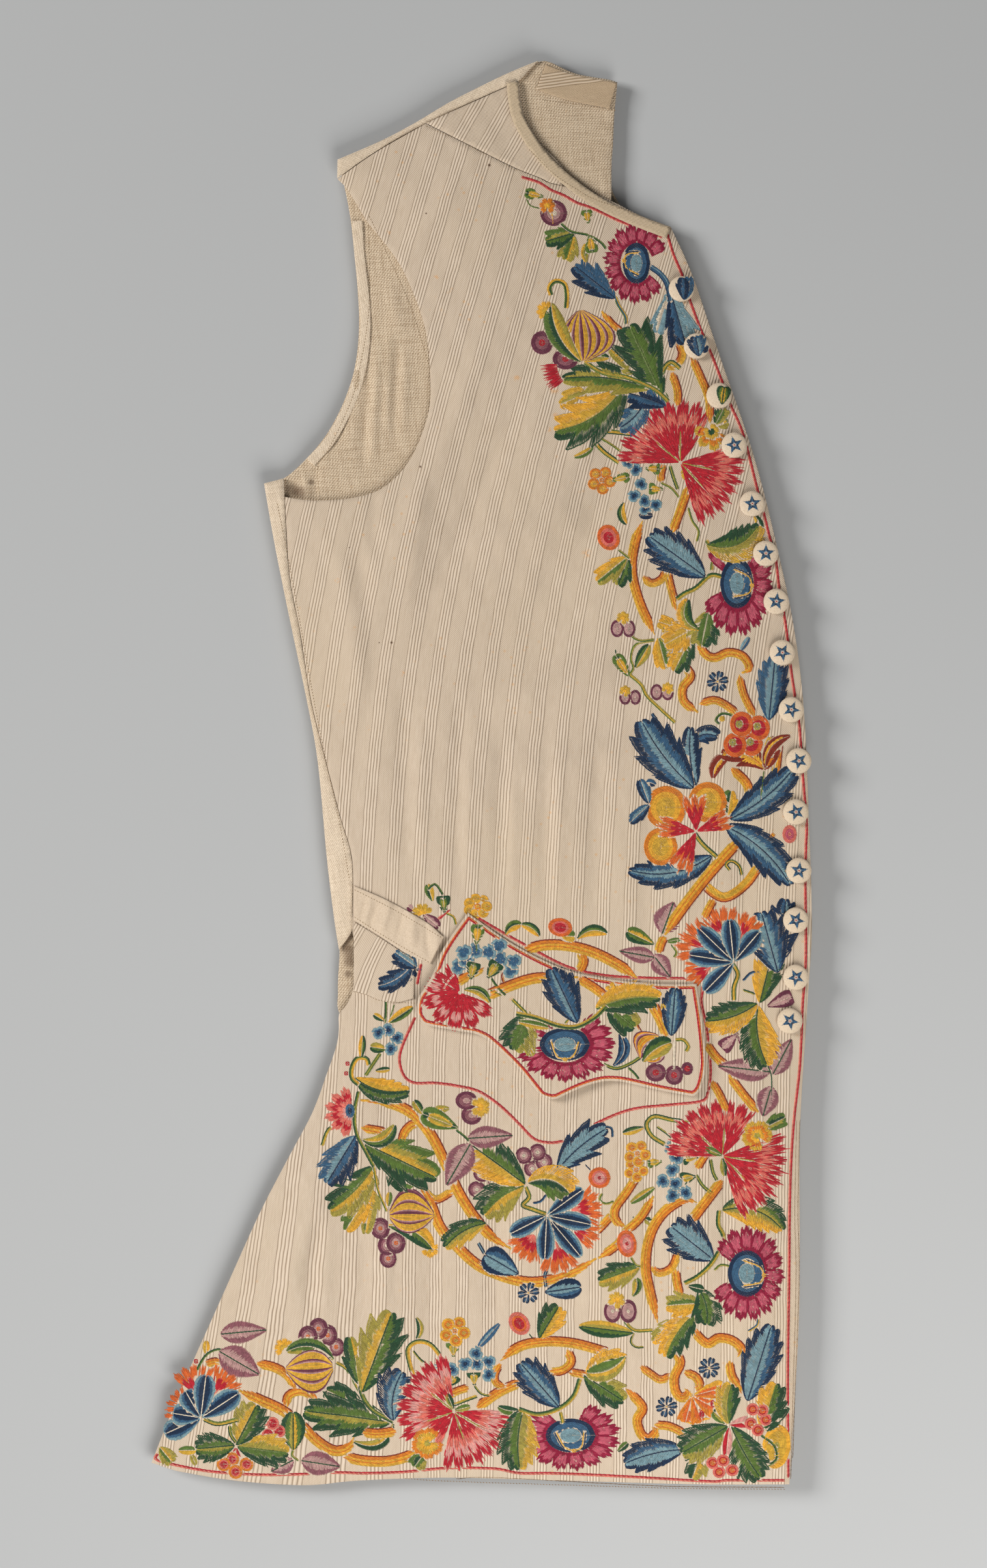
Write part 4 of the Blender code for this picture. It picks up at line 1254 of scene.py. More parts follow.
def flapSpray():
    work["ground"] = "flap"
    stem([(681, 1518), (690, 1504), (698, 1496)], "pale", "pale")
    stem([(1034, 1598), (1034, 1616), (1034, 1642)], "pale", "pale")
    bud((731, 1450), (734, 1420), 22)
    stem([(731, 1450), (732, 1462)], "green")
    bud((722, 1504), (728, 1478), 22, "green forest", "yellow lime")
    bud((748, 1502), (764, 1478), 24, "green forest", "yellow lime")
    berries(
        (712, 1462), (729, 1460), (716, 1476), (704, 1484), (750, 1462), (766, 1452), (768, 1472),
        (788, 1476), (784, 1490), size=24, tones="blue blue sky",
    )
    stem([(754, 1502), (764, 1516), (776, 1528)], "green", "forest")
    leaf((712, 1520), (752, 1540), 14, "forest green", "lime yellow", bend=0.2)
    stem([(752, 1520), (770, 1528)], "green")
    fan((706, 1524), -115, 190, 60, "red red red blush red", 3, 6, 0.28, between="red")
    fan((706, 1524), 128, 60, 50, "red red red", 3, 2, 0.3)
    leaf((794, 1568), (844, 1578), 12, "green", "yellow")
    leaf((886, 1570), (846, 1486), 46, "sky blue navy", "blue navy", 4, 0.4, vein="navy")
    stem(
        [(792, 1556), (822, 1562), (856, 1574), (884, 1576), (912, 1562), (930, 1544)], "green", "forest",
        "lime", "yellow",
    )
    stem([(786, 1534), (800, 1548), (812, 1560)], "green", "yellow", "green")
    leaf((812, 1552), (788, 1612), 50, "green lime", "green forest", 4, 0.45, vein="green")
    leaf((800, 1556), (816, 1622), 22, "yellow lime", "green lime", 3, 0.4)
    leaf((914, 1548), (1014, 1532), 44, "yellow gold", "green forest", 4, 0.4, vein="lime", bend=0.08)
    leaf((930, 1540), (974, 1578), 40, "green lime", "green forest", 2, 0.3, vein="green")
    leaf((944, 1524), (934, 1512), 16, "yellow gold")
    leaf((1016, 1540), (1018, 1548), 8, "yellow")
    leaf((1030, 1590), (1036, 1516), 32, "sky blue navy", "sky blue navy", 5, 0.35, vein="navy")
    crimsonFlower((867, 1603), (78, 50), (158, 118), -90, "crimson rose rose crimson", gap=60)
    stem([(876, 1562), (868, 1572), (866, 1582)], "green", "yellow", "lime")
    leaf((940, 1636), (950, 1586), 18, "blue navy", "navy blue", bend=-0.25)
    leaf((986, 1630), (1030, 1600), 30, "green forest", "yellow lime", bend=0.1)
    bulb((984, 1626), (1018, 1592), 52, 0.1, "gold amber yellow")
    curl([(1036, 1596), (1048, 1596), (1056, 1606), (1052, 1614)], "green", "yellow", "lime")
    oval((1006, 1646), 32, 28, "plum dusk red")
    oval((1034, 1650), 28, 30, "plum dusk red")
    oval((1054, 1640), 18, 20, "plum red")
    stem([(986, 1620), (968, 1632), (946, 1640), (926, 1634)], "green", "lime", "forest")
    stem([(960, 1636), (972, 1646), (980, 1656)], "green", "forest")
    strap([(698, 1510), (722, 1496), (742, 1484)], 15)
    strap([(736, 1534), (776, 1516), (820, 1502), (862, 1502), (888, 1500)], 17)
    strap([(790, 1516), (776, 1500), (790, 1474)], 14)
    strap([(888, 1502), (914, 1518), (934, 1534)], 15)
    strap([(996, 1534), (1012, 1562), (1024, 1590)], 17)
    strap([(962, 1552), (976, 1580), (986, 1596)], 13)
    inset = rounded(tableToChart(movedIn(flapEdge, 2.6 * mm)), 6, closed=True)
    cord(np.concatenate([inset, inset[:2]]), "red", "orange", 6)
    work["ground"] = "front"


def buttonMotifs():
    work["ground"] = "button"
    for number, (x, y) in enumerate(buttonPlaces, start=1):
        if number == 1:
            leaf(
                (x + 4, y + 17), (x + 4, y - 18), 24, "blue navy", "navy blue", 2, 0.3, vein="navy",
                bend=-0.05,
            )
        elif number == 2:
            leaf((x + 4, y + 16), (x - 2, y - 15), 26, "blue navy", "sky blue", 3, 0.5, vein="navy")
            leaf((x + 3, y + 12), (x + 16, y - 2), 12, "blue navy", "navy", 1, 0.3)
        elif number == 3:
            leaf((x + 4, y + 14), (x + 8, y - 14), 22, "yellow green forest", vein="forest")
        else:
            turn = rng.uniform(0, 72)
            oval((x, y), 4.5, 4.5, "red")
            for k in range(5):
                a = math.radians(72 * k + turn)
                way, aside = np.array([math.cos(a), math.sin(a)]), np.array([-math.sin(a), math.cos(a)])
                for off, reach in ((0, 14), (-1.5, 11), (1.5, 11), (-3, 7.5), (3, 7.5)):
                    start = np.array([x, y]) + aside * off * 0.9 + way * 2
                    end = np.array([x, y]) + aside * off * 0.7 + way * reach
                    sew([start, (start + end) / 2, end], "blue" if abs(off) < 2 else "navy", 0.85)
            settle()
    work["ground"] = "front"


def redLines():
    neck = [
        (800, 272), (826, 280), (846, 292), (866, 300), (886, 311), (904, 317), (926, 327), (954, 340),
        (984, 351),
        (1017, 364),
    ]
    cord(neck)
    front = [
        (1022, 352), (1027, 368), (1034, 391), (1047, 422), (1060, 464), (1076, 507), (1090, 539),
        (1108, 585), (1122, 623),
        (1141, 668), (1163, 754), (1171, 783), (1181, 824), (1190, 855), (1196, 903), (1203, 941),
        (1209, 983), (1213, 1020),
        (1220, 1068), (1226, 1106), (1229, 1141), (1232, 1189), (1238, 1264), (1237, 1301), (1236, 1355),
        (1237, 1437),
        (1236, 1493), (1232, 1541), (1230, 1595), (1227, 1646), (1220, 1707), (1215, 1769), (1212, 1854),
        (1211, 1961),
        (1209, 2121), (1210, 2270),
    ]
    cord(front, "red", "salmon")
    hem = [
        (1205, 2274), (1118, 2274), (1093, 2276), (999, 2271), (900, 2266), (841, 2264), (797, 2264),
        (759, 2257),
        (688, 2256), (620, 2262), (560, 2264), (516, 2263), (441, 2266), (387, 2266), (320, 2261),
        (266, 2251), (238, 2243), (241, 2234),
    ]
    cord(hem, "salmon", "red")
    # Thin dark yarn lines beside the skirt's right edge and under the hem: painted shade at the edges of the
    # layers beneath
    layerEdgeShadeLines = [
        [(1223, 1720), (1221, 1800), (1220, 1870), (1222, 1950), (1220, 2050), (1217, 2150), (1214, 2272)],
        [(1228, 1720), (1226, 1800), (1225, 1870), (1227, 1950), (1224, 2050), (1220, 2150), (1217, 2240)],
        [(700, 2273), (760, 2271), (1000, 2283), (1204, 2285)],
    ]
    for line in layerEdgeShadeLines:
        stemRow(line, "edge", 0.5, 7, lift=0.06)
    settle()
    aboveFlap = [
        (709, 1395), (749, 1419), (800, 1448), (870, 1484), (930, 1498), (1000, 1502), (1071, 1506),
        (1076, 1540),
        (1084, 1580), (1090, 1640), (1087, 1675),
    ]
    cord(aboveFlap)
    belowFlap = [
        (1087, 1675), (1078, 1690), (1031, 1696), (981, 1701), (948, 1710), (915, 1725), (882, 1743),
        (859, 1753),
        (839, 1754), (819, 1748), (799, 1728), (779, 1708), (759, 1691), (733, 1675), (699, 1667),
        (666, 1663),
        (636, 1663), (620, 1652), (613, 1628), (618, 1605), (637, 1562),
    ]
    cord(belowFlap, "salmon", "red")


def seams():
    work["ground"] = "trim"
    small = dict(wide=0.62, length=4.6, lift=0.2, loose=True)
    for line in (
        [(811, 229), (826, 244), (846, 264), (866, 279), (886, 291), (909, 304), (960, 322), (1012, 342)],
        [(653, 192), (672, 201), (703, 214), (733, 231), (768, 247), (787, 260), (800, 262)],
        [(565, 343), (567, 448), (562, 506), (553, 557), (542, 604), (524, 648), (502, 692), (487, 717),
         (491, 768)],
        [(833, 152), (880, 158), (946, 167)], [(543, 1366), (610, 1400), (678, 1440)],
        [(543, 1408), (600, 1444), (659, 1478)],
        [(541, 1523), (563, 1528), (584, 1537), (638, 1541)],
        [(566, 330), (590, 380), (630, 470), (658, 560)],
        [(425, 772), (450, 900), (486, 1100), (520, 1260), (536, 1350)],
        [(620, 2272), (700, 2277), (1000, 2286), (1206, 2288)],
    ):
        stemRow(line, "thread", **small)
    settle()
    work["ground"] = "front"


# The laid stitches as one mesh for each part of the work, by a node tree that sweeps a flat round yarn
# along them
def yarnTree(finish):
    tree = bpy.data.node_groups.new("laidYarn", "GeometryNodeTree")
    tree.interface.new_socket("Geometry", in_out="INPUT", socket_type="NodeSocketGeometry")
    sides = tree.interface.new_socket("Sides", in_out="INPUT", socket_type="NodeSocketInt")
    flatness = tree.interface.new_socket("Flatness", in_out="INPUT", socket_type="NodeSocketVector")
    tree.interface.new_socket("Geometry", in_out="OUTPUT", socket_type="NodeSocketGeometry")

    def add(kind, **settings):
        made = tree.nodes.new(kind)
        for key, value in settings.items():
            setattr(made, key, value)
        return made

    def join(source, output, target, entry):
        tree.links.new(source.outputs[output], target.inputs[entry])

    given, result = add("NodeGroupInput"), add("NodeGroupOutput")
    path, upright = add("GeometryNodeMeshToCurve"), add("GeometryNodeSetCurveNormal")
    for entry in upright.inputs:
        if entry.type == "MENU":
            entry.default_value = "Z Up"
    if hasattr(upright, "mode"):
        upright.mode = "Z_UP"
    width = add("GeometryNodeInputNamedAttribute", data_type="FLOAT")
    width.inputs["Name"].default_value = "wide"
    ring, press = add("GeometryNodeCurvePrimitiveCircle"), add("GeometryNodeTransform")
    ring.inputs["Radius"].default_value = 1.0
    press.inputs["Rotation"].default_value = (0, 0, -math.pi / 2)
    sweep, smooth = add("GeometryNodeCurveToMesh"), add("GeometryNodeSetShadeSmooth")
    sweep.inputs["Fill Caps"].default_value = True
    real, dress = add("GeometryNodeRealizeInstances"), add("GeometryNodeSetMaterial")
    dress.inputs["Material"].default_value = finish
    join(given, "Geometry", path, 0)
    join(path, 0, upright, 0)
    join(given, "Sides", ring, "Resolution")
    join(ring, 0, press, 0)
    join(given, "Flatness", press, "Scale")
    join(upright, 0, sweep, "Curve")
    join(press, 0, sweep, "Profile Curve")
    join(width, "Attribute", sweep, "Scale")
    for first, second in ((sweep, smooth), (smooth, real), (real, dress), (dress, result)):
        join(first, 0, second, 0)
    return tree, sides.identifier, flatness.identifier


def layYarn(name, stitches, trees, tree, slot="crewel_wool"):
    group, sides, flatness = tree
    points, edges, wide, tints = [], [], [], []
    for ground, line, tint, width, lift in stitches:
        flat = chartToTable(line)
        levels = heightsOn(trees[ground], flat)
        rise = np.sin(np.linspace(0, math.pi, len(line))) * lift - 0.05
        start = len(points)
        points += np.column_stack([flat, levels + rise * mm]).tolist()
        edges += [(start + i, start + i + 1) for i in range(len(line) - 1)]
        taper = 0.72 + 0.28 * np.sin(np.linspace(0, math.pi, len(line)))
        wide += (taper * width * 0.5 * mm).tolist()
        tints += [(*tint, 1.0)] * len(line)
    mesh = bpy.data.meshes.new(name)
    mesh.from_pydata(points, edges, [])
    mesh.attributes.new("wide", "FLOAT", "POINT").data.foreach_set("value", wide)
    mesh.attributes.new("tint", "FLOAT_COLOR", "POINT").data.foreach_set("color", np.ravel(tints))
    drawn = bpy.data.objects.new(name + "Path", mesh)
    bpy.context.scene.collection.objects.link(drawn)
    sweep = drawn.modifiers.new("laidYarn", "NODES")
    sweep.node_group = group
    sweep[sides], sweep[flatness] = 3, (0.62, 1.0, 1.0)
    seen = drawn.evaluated_get(bpy.context.evaluated_depsgraph_get())
    plain = bpy.data.meshes.new_from_object(seen)
    drawn.modifiers.remove(sweep)
    bpy.data.objects.remove(drawn)
    plain.name = name
    made = bpy.data.objects.new(name, plain)
    bpy.context.scene.collection.objects.link(made)
    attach(made, "root")
    print(name, len(stitches), "stitches", len(plain.polygons), "faces")

def sideSpray():
    for place in ((533, 1634), (531, 1649)):
        oval(place, 7, 8, "red")
    berries((581, 1586), (596, 1582), (609, 1594), (600, 1611), size=20, tones="navy blue sky")
    leaf((596, 1571), (634, 1546), 15, "yellow gold", "forest green")
    leaf((590, 1568), (573, 1558), 10, "forest", "yellow")
    stem([(592, 1536), (592, 1556), (590, 1576)], "forest", "green")
    stem([(605, 1543), (599, 1562), (594, 1572)], "green")
    leaf((595, 1612), (568, 1608), 16, "green forest", "yellow lime")
    stem([(586, 1614), (574, 1632), (561, 1652)], "green", "lime", "green")
    leaf((554, 1626), (557, 1590), 11, "yellow gold", "green forest")
    leaf((576, 1645), (599, 1642), 9, "forest", "yellow")
    curl(
        [(566, 1636), (562, 1626), (548, 1626), (540, 1640), (540, 1656), (550, 1666)], "forest", "green",
        "yellow", "gold",
    )
    leaf(
        (545, 1656), (629, 1674), 32, "yellow gold", "forest green forest", 5, 0.3, bend=-0.12,
        vein="forest",
    )
    oval((537, 1706), 14, 22, "blue navy")
    fan((540, 1708), 180, 176, 44, "blush salmon red salmon", 8, 6, 0.3, (1.0, 0.9))
    stem([(550, 1676), (544, 1708), (547, 1740), (562, 1770), (574, 1792)], "forest", "green", "lime")
    stem([(574, 1792), (580, 1826), (594, 1860)], "green", "yellow")
    leaf((546, 1744), (501, 1818), 48, "blue navy", "sky blue", 4, 0.5, vein="navy")
    stem([(530, 1750), (510, 1766), (491, 1786)], "green", "yellow", "gold")
    stem([(515, 1724), (502, 1738), (494, 1760)], "forest", "lime", "yellow")
    leaf((556, 1750), (606, 1727), 22, "yellow lime", "green forest", bend=-0.25)
    leaf((560, 1756), (671, 1809), 62, "yellow lime green", "green forest", 3, 0.5, vein="forest")
    leaf((600, 1772), (622, 1828), 34, "green", "green forest", 1, 0.2)
    leaf((574, 1790), (505, 1859), 50, "yellow lime", "green forest", 3, 0.5, bend=0.06, vein="green")
    leaf((568, 1830), (530, 1890), 30, "yellow gold", "green", 2, 0.4)
    leaf((575, 1800), (560, 1896), 28, "yellow lime", "green lime", 2, 0.4)
    leaf((596, 1852), (598, 1830), 10, "yellow", "green")
    bulb((597, 1866), (667, 1866), 62, 0.12, "gold yellow yellow")
    leaf((596, 1882), (664, 1918), 30, "yellow gold", "green forest", bend=0.14)
    fan((660, 1918), -60, 240, 14, "yellow gold", 0, 4, 0.2)
    for place, size in (((584, 1886), 30), ((608, 1908), 30), ((594, 1912), 28), ((596, 1932), 26)):
        oval(place, size, size * 1.1, "plum dusk mauve orange")


def pocketUnder():
    bud((703, 1732), (648, 1710), 32, "forest green", "lime yellow")
    leaf((650, 1712), (635, 1690), 14, "yellow lime", "green forest")
    leaf((655, 1706), (690, 1702), 12, "yellow lime")
    fan((737, 1700), 0, 330, 16, "gold yellow", 0, 6, 0.25)
    oval((716, 1690), 34, 28, "plum dusk mauve")
    oval((724, 1712), 32, 30, "plum dusk mauve")
    stem([(700, 1735), (712, 1744), (720, 1752)], "forest", "green")
    heart((718, 1748), (790, 1743), 32)
    heart((722, 1756), (684, 1822), 40)
    leaf((806, 1818), (722, 1757), 54, "yellow gold", "green forest", 5, 0.4, vein="forest")
    leaf((804, 1820), (742, 1866), 50, "yellow lime", "green forest", 4, 0.4, vein="green", bend=-0.08)
    leaf((810, 1816), (874, 1832), 46, "yellow gold", "forest green", 4, 0.3, bend=0.2)
    for place in ((804, 1774), (825, 1769), (835, 1784), (817, 1794)):
        oval(place, 26, 26, "plum dusk mauve pale")
    for place in ((740, 1802), (732, 1826), (752, 1834), (760, 1812)):
        oval(place, 27, 25, "plum dusk mauve pale")
    stem(
        [(806, 1822), (812, 1838), (802, 1850), (816, 1856), (838, 1864)], "forest", "lime", "yellow",
        "green",
    )
    stem([(838, 1834), (830, 1844), (818, 1847)], "navy", "blue")
    petalFlower((839, 1866), [(895, 1826), (783, 1894), (836, 1934), (908, 1880), (892, 1930)],
                [(920, 1850), (916, 1900), (868, 1950), (800, 1930)], 28)
    leaf((856, 1796), (932, 1732), 46, "sky sky navy", "sky sky navy", 3, 0.5, vein="navy", bend=0.05)
    stem([(924, 1730), (938, 1732), (940, 1746)], "navy", "blue")
    oval((920, 1808), 34, 32, "orange salmon blush red")
    stem([(898, 1788), (906, 1796)], "navy")
    curl([(924, 1832), (920, 1842), (930, 1848), (942, 1844)], "lime", "green")
    leaf((796, 1956), (744, 1926), 42, "sky sky navy", "sky blue navy", vein="navy", full=0.8)
    stem([(752, 1938), (742, 1922), (734, 1908)], "navy", "sky", "navy")
    leaf((836, 1984), (892, 1976), 32, "sky navy", "sky blue navy", vein="navy")
    stem([(838, 1976), (836, 1960), (840, 1946)], "navy", "sky", "navy")
    smallFlower((811, 1985), 17)
    leaf((746, 1878), (682, 1916), 32, "lime yellow", "green forest", 3, 0.45, vein="forest", bend=-0.1)
    strap([(550, 1690), (590, 1692), (630, 1708), (660, 1740), (684, 1786), (704, 1830), (728, 1868),
           (756, 1900), (790, 1920)], 17)
    strap([(554, 1732), (588, 1738), (610, 1752), (624, 1778)], 14)
    strap([(616, 1764), (620, 1740), (634, 1726), (652, 1726)], 14)
    strap([(640, 1812), (660, 1846), (676, 1884), (702, 1914), (740, 1946), (796, 1966), (840, 1966),
           (884, 1950), (918, 1930)], 17)
    strap([(645, 1822), (668, 1842), (696, 1828)], 13, tones="yellow gold gold amber brown")


def swagSpray():
    oval((962, 1909), 30, 42, "orange salmon blush red", 10)
    stem([(968, 1930), (976, 1942), (984, 1944)], "green", "lime")
    leaf((982, 1944), (918, 1967), 36, "yellow lime", "green forest", 3, 0.5, vein="green")
    leaf((970, 1990), (976, 1962), 15, "yellow lime", "forest green", bend=-0.15)
    pansy((952, 2008), 40, tuft=(-0.15, -0.3))
    stem([(958, 2028), (974, 2042), (1002, 2042)], "green", "yellow", "lime")
    leaf((972, 2046), (888, 2036), 26, "green forest", "lime yellow", vein="forest")
    curl([(972, 2046), (968, 2060), (976, 2068), (988, 2068)], "forest", "lime")
    strap([(980, 1802), (962, 1830), (944, 1856), (946, 1874), (962, 1884)], 14)
    strap([(940, 1864), (926, 1880), (914, 1892)], 13)
    strap([(1003, 1836), (984, 1868), (960, 1892), (948, 1910), (918, 1932)], 14)
    leaf((970, 1870), (1002, 1884), 12, "forest", "lime", bend=0.2)
    leaf((1006, 1822), (966, 1848), 12, "green", "yellow lime")


def cornerCarnation():
    fan((1162, 1744), 130, 330, 25, "lime gold amber yellow", 0, 5, 0.15)
    leaf((1173, 1732), (1206, 1716), 22, "forest green", "lime green", 2, 0.4)
    leaf((1108, 1774), (1082, 1762), 11, "lime green", "green")
    leaf((1108, 1778), (1112, 1806), 11, "green forest", "lime")
    stem([(1090, 1780), (1094, 1800), (1100, 1812)], "forest", "lime", "green")
    carnation((1108, 1775), (112, 124, 88), (-26, 88, 102))
    curl(
        [(1020, 1757), (1000, 1744), (992, 1726), (1004, 1714), (1030, 1719), (1057, 1723)], "green",
        "yellow", "lime", "forest",
    )
    stem([(1008, 1730), (1020, 1738), (1030, 1746)], "forest", "lime")
    leaf((988, 1731), (955, 1740), 12, "yellow", "green forest")
    berries(
        (1042, 1744), (1048, 1754), (1066, 1753), (1029, 1763), (1038, 1777), (1032, 1796), (1017, 1813),
        (1036, 1817), (1032, 1835), (1052, 1831), size=21,
    )
    bud((1072, 1776), (1048, 1779), 20, "green forest", "lime yellow")
    bud((1068, 1806), (1044, 1810), 20, "green forest", "lime yellow")
    stem([(1068, 1804), (1078, 1820), (1092, 1832)], "forest", "lime", "green")
    rosette((978, 1771), 42, "gold amber yellow")
    rosette((976, 1796), 38, "gold amber yellow")
    bud((1016, 1783), (994, 1785), 18, "forest green", "lime yellow")
    leaf(
        (1108, 1858), (1202, 1890), 44, "lime green forest", "lime yellow gold", 6, 0.3, bend=0.16,
        vein="forest", full=0.7,
    )
    crimsonFlower((1146, 1955), (58, 72), (120, 150), -5)
    stem([(1120, 1944), (1106, 1942), (1096, 1950)], "green", "lime")
    stem(
        [(1103, 1858), (1102, 1880), (1110, 1902), (1094, 1936), (1072, 1958), (1050, 1970)], "forest",
        "green", "yellow", "lime",
    )
    leaf((1095, 1934), (1029, 1882), 54, "sky sky navy", "sky sky navy", 4, 0.45, vein="navy")
    leaf((1056, 1974), (1080, 1980), 14, "forest")
    leaf((1072, 1978), (1084, 2034), 40, "green forest", "green forest", 3, 0.4, vein="forest", bend=0.1)
    leaf((1078, 2000), (1022, 2004), 34, "yellow gold", "green lime", 3, 0.5)
    leaf((1072, 2012), (1022, 2084), 42, "green forest", "yellow gold", 4, 0.5, vein="green", bend=-0.08)
    leaf((1054, 2020), (1000, 2060), 26, "yellow gold", "yellow lime", 3, 0.4)
    stem([(1163, 2020), (1162, 2034), (1148, 2044)], "blue", "yellow")
    strap([(1086, 1766), (1076, 1782), (1068, 1796)], 14)
    strap([(1108, 1812), (1082, 1846), (1058, 1878)], 16)
    strap([(1070, 1846), (1048, 1842), (1022, 1858), (1003, 1884), (993, 1916), (991, 1948), (997, 1980),
           (1010, 2034)], 16)
    strap([(1042, 1918), (1030, 1946), (1010, 1954), (1000, 1944)], 13, tones="yellow gold gold amber brown")
    strap([(1036, 1948), (1040, 1974), (1048, 2004)], 14)


def skirtCorner():
    for place in ((1155, 2164), (1170, 2166), (1175, 2180), (1163, 2196), (1152, 2186)):
        oval(place, 19, 19, "salmon red orange blush")
    leaf((1120, 2187), (1160, 2180), 18, "blush", "red")
    for place in ((1110, 2243), (1094, 2247), (1104, 2261), (1124, 2258)):
        oval(place, 20, 19, "salmon red orange gold")
    leaf((1119, 2192), (1114, 2240), 14, "blush", "red")
    leaf((1118, 2186), (1122, 2124), 34, "lime yellow", "green forest", 3, 0.4, vein="lime", bend=0.08)
    leaf((1117, 2186), (1094, 2166), 18, "lime green", "forest")
    leaf((1117, 2190), (1046, 2232), 50, "green lime", "green forest", 5, 0.4, vein="forest")
    leaf((1086, 2208), (1062, 2272), 34, "yellow lime", "forest", 3, 0.4)
    leaf((1122, 2190), (1168, 2271), 50, "green forest", "green forest", 6, 0.35, vein="forest", bend=-0.03)
    leaf((1126, 2200), (1160, 2256), 16, "yellow lime", "yellow lime", vein="forest")
    leaf((1170, 2196), (1192, 2124), 40, "yellow gold", "green forest", 3, 0.4, vein="green")
    leaf((1176, 2198), (1206, 2150), 24, "green lime", "forest", 2, 0.4)
    curl([(1168, 2204), (1188, 2220), (1192, 2240), (1178, 2252)], "forest", "green")
    oval((1192, 2222), 44, 68, "gold yellow yellow lime", -8)
    leaf((1147, 2151), (1184, 2034), 50, "sky sky navy", "sky blue navy", 5, 0.35, vein="navy")
    leaf((1050, 2226), (958, 2249), 42, "sky sky navy", "sky blue navy", 4, 0.3, vein="navy", bend=-0.05)
    smallFlower((1088, 2100), 17)
    smallFlower((1023, 2160), 17)
    for place, size in (((1077, 2171), 8), ((1094, 2155), 8)):
        oval(place, size, size + 4, "red")
    for tip, width in (((1110, 2130), 22), ((1098, 2162), 26), ((1078, 2182), 26), ((1052, 2184), 22)):
        leaf((1062, 2143), tip, width, "orange gold", "orange amber", 2, 0.25, full=1.5)
    oval((1062, 2142), 8, 8, "gold")
    strap([(1058, 2036), (1084, 2062), (1102, 2054), (1124, 2058), (1138, 2072), (1130, 2086)], 15)
    strap([(1119, 2089), (1124, 2114), (1142, 2140)], 14)
    strap(
        [(1030, 2066), (1044, 2090), (1035, 2114), (1037, 2136), (1047, 2146), (1056, 2138), (1050, 2132)],
        15,
    )
    strap([(983, 2098), (1000, 2110), (1014, 2118), (1032, 2110)], 13)
    strap([(1050, 2106), (1068, 2114), (1074, 2128), (1064, 2134)], 14)
    strap([(960, 2132), (986, 2160), (978, 2180), (984, 2202), (996, 2210), (1007, 2198), (1000, 2192)], 15)
    strap([(1004, 2188), (1030, 2191), (1064, 2209)], 14)


def hemMiddle():
    leaf((948, 2230), (964, 2216), 11, "green", "forest")
    oval((797, 2032), 30, 38, "salmon orange red red", 35)
    stem([(812, 2048), (818, 2056)], "forest")
    leaf((828, 2055), (858, 2005), 36, "green forest", "yellow gold", 3, 0.4, vein="forest")
    leaf((858, 2161), (798, 2092), 46, "sky blue navy", "sky blue navy", 5, 0.4, vein="navy")
    stem(
        [(890, 2117), (880, 2144), (858, 2163), (826, 2172), (796, 2164)], "forest", "green", "lime",
        "yellow",
    )
    leaf(
        (804, 2162), (798, 2259), 54, "lime yellow", "green forest", 5, 0.4, vein="forest", bend=-0.06,
        full=0.7,
    )
    leaf((800, 2166), (764, 2160), 14, "green", "forest", bend=0.1)
    stem([(859, 2164), (862, 2176), (864, 2186)], "green", "yellow", "lime")
    crimsonFlower((876, 2205), (78, 52), (156, 112), -82, "crimson rose rose crimson", gap=56)
    leaf((960, 2082), (900, 2108), 30, "yellow lime", "green", bend=0.15)
    leaf((900, 2116), (962, 2086), 30, "yellow gold", "green forest", 4, 0.4, vein="forest", bend=0.16)
    leaf((896, 2112), (958, 2152), 40, "green lime", "green forest", 3, 0.4, vein="forest")
    leaf((918, 2110), (920, 2088), 18, "yellow gold")
    fan((656, 2217), 200, 330, 26, "lime gold yellow amber", 0, 5, 0.15)
    leaf((652, 2232), (636, 2254), 24, "green lime", "forest green", 2, 0.3)
    leaf((696, 2164), (686, 2140), 11, "green lime", "forest")
    leaf((698, 2166), (722, 2160), 11, "green", "lime")
    stem([(696, 2158), (716, 2150), (732, 2144)], "forest", "lime", "yellow")
    carnation((697, 2168), (172, 140, 90), (-50, 96, 92), tones="red red red salmon blush red")
    berries(
        (678, 2097), (694, 2103), (665, 2111), (674, 2124), (731, 2078), (714, 2094), (732, 2094),
        (750, 2091), (750, 2111), size=21,
    )
    bud((686, 2130), (700, 2112), 20, "green forest", "lime yellow")
    bud((728, 2128), (727, 2108), 22, "green forest", "lime yellow")
    stem([(728, 2128), (738, 2140), (752, 2144)], "forest", "lime")
    rosette((698, 2044), 48, "gold amber yellow")
    bud((696, 2084), (695, 2062), 22, "forest green", "lime yellow")
    curl(
        [(678, 2084), (660, 2064), (640, 2060), (626, 2072), (630, 2098), (638, 2121)], "forest", "lime",
        "yellow", "gold",
    )
    stem([(634, 2074), (648, 2090), (664, 2097)], "lime", "forest")
    leaf((638, 2058), (638, 2022), 10, "forest", "yellow lime", bend=-0.2)
    leaf((731, 2072), (768, 2031), 12, "sky blue", "blue")
    leaf((604, 2182), (618, 2106), 50, "sky blue navy", "sky blue navy", 4, 0.45, vein="navy", bend=0.1)
    strap([(768, 2090), (796, 2068), (832, 2060), (872, 2061), (912, 2070), (954, 2084)], 16)
    strap([(870, 2072), (877, 2090), (864, 2104), (838, 2108)], 14)
    strap([(872, 2106), (896, 2110), (918, 2112)], 13)
    strap([(768, 2094), (760, 2110), (762, 2124), (778, 2130)], 12)
    strap([(732, 2162), (762, 2140), (788, 2127), (808, 2120)], 16)
    strap([(688, 2143), (704, 2135), (722, 2130)], 13)
    strap([(556, 2200), (582, 2202), (608, 2198)], 16)


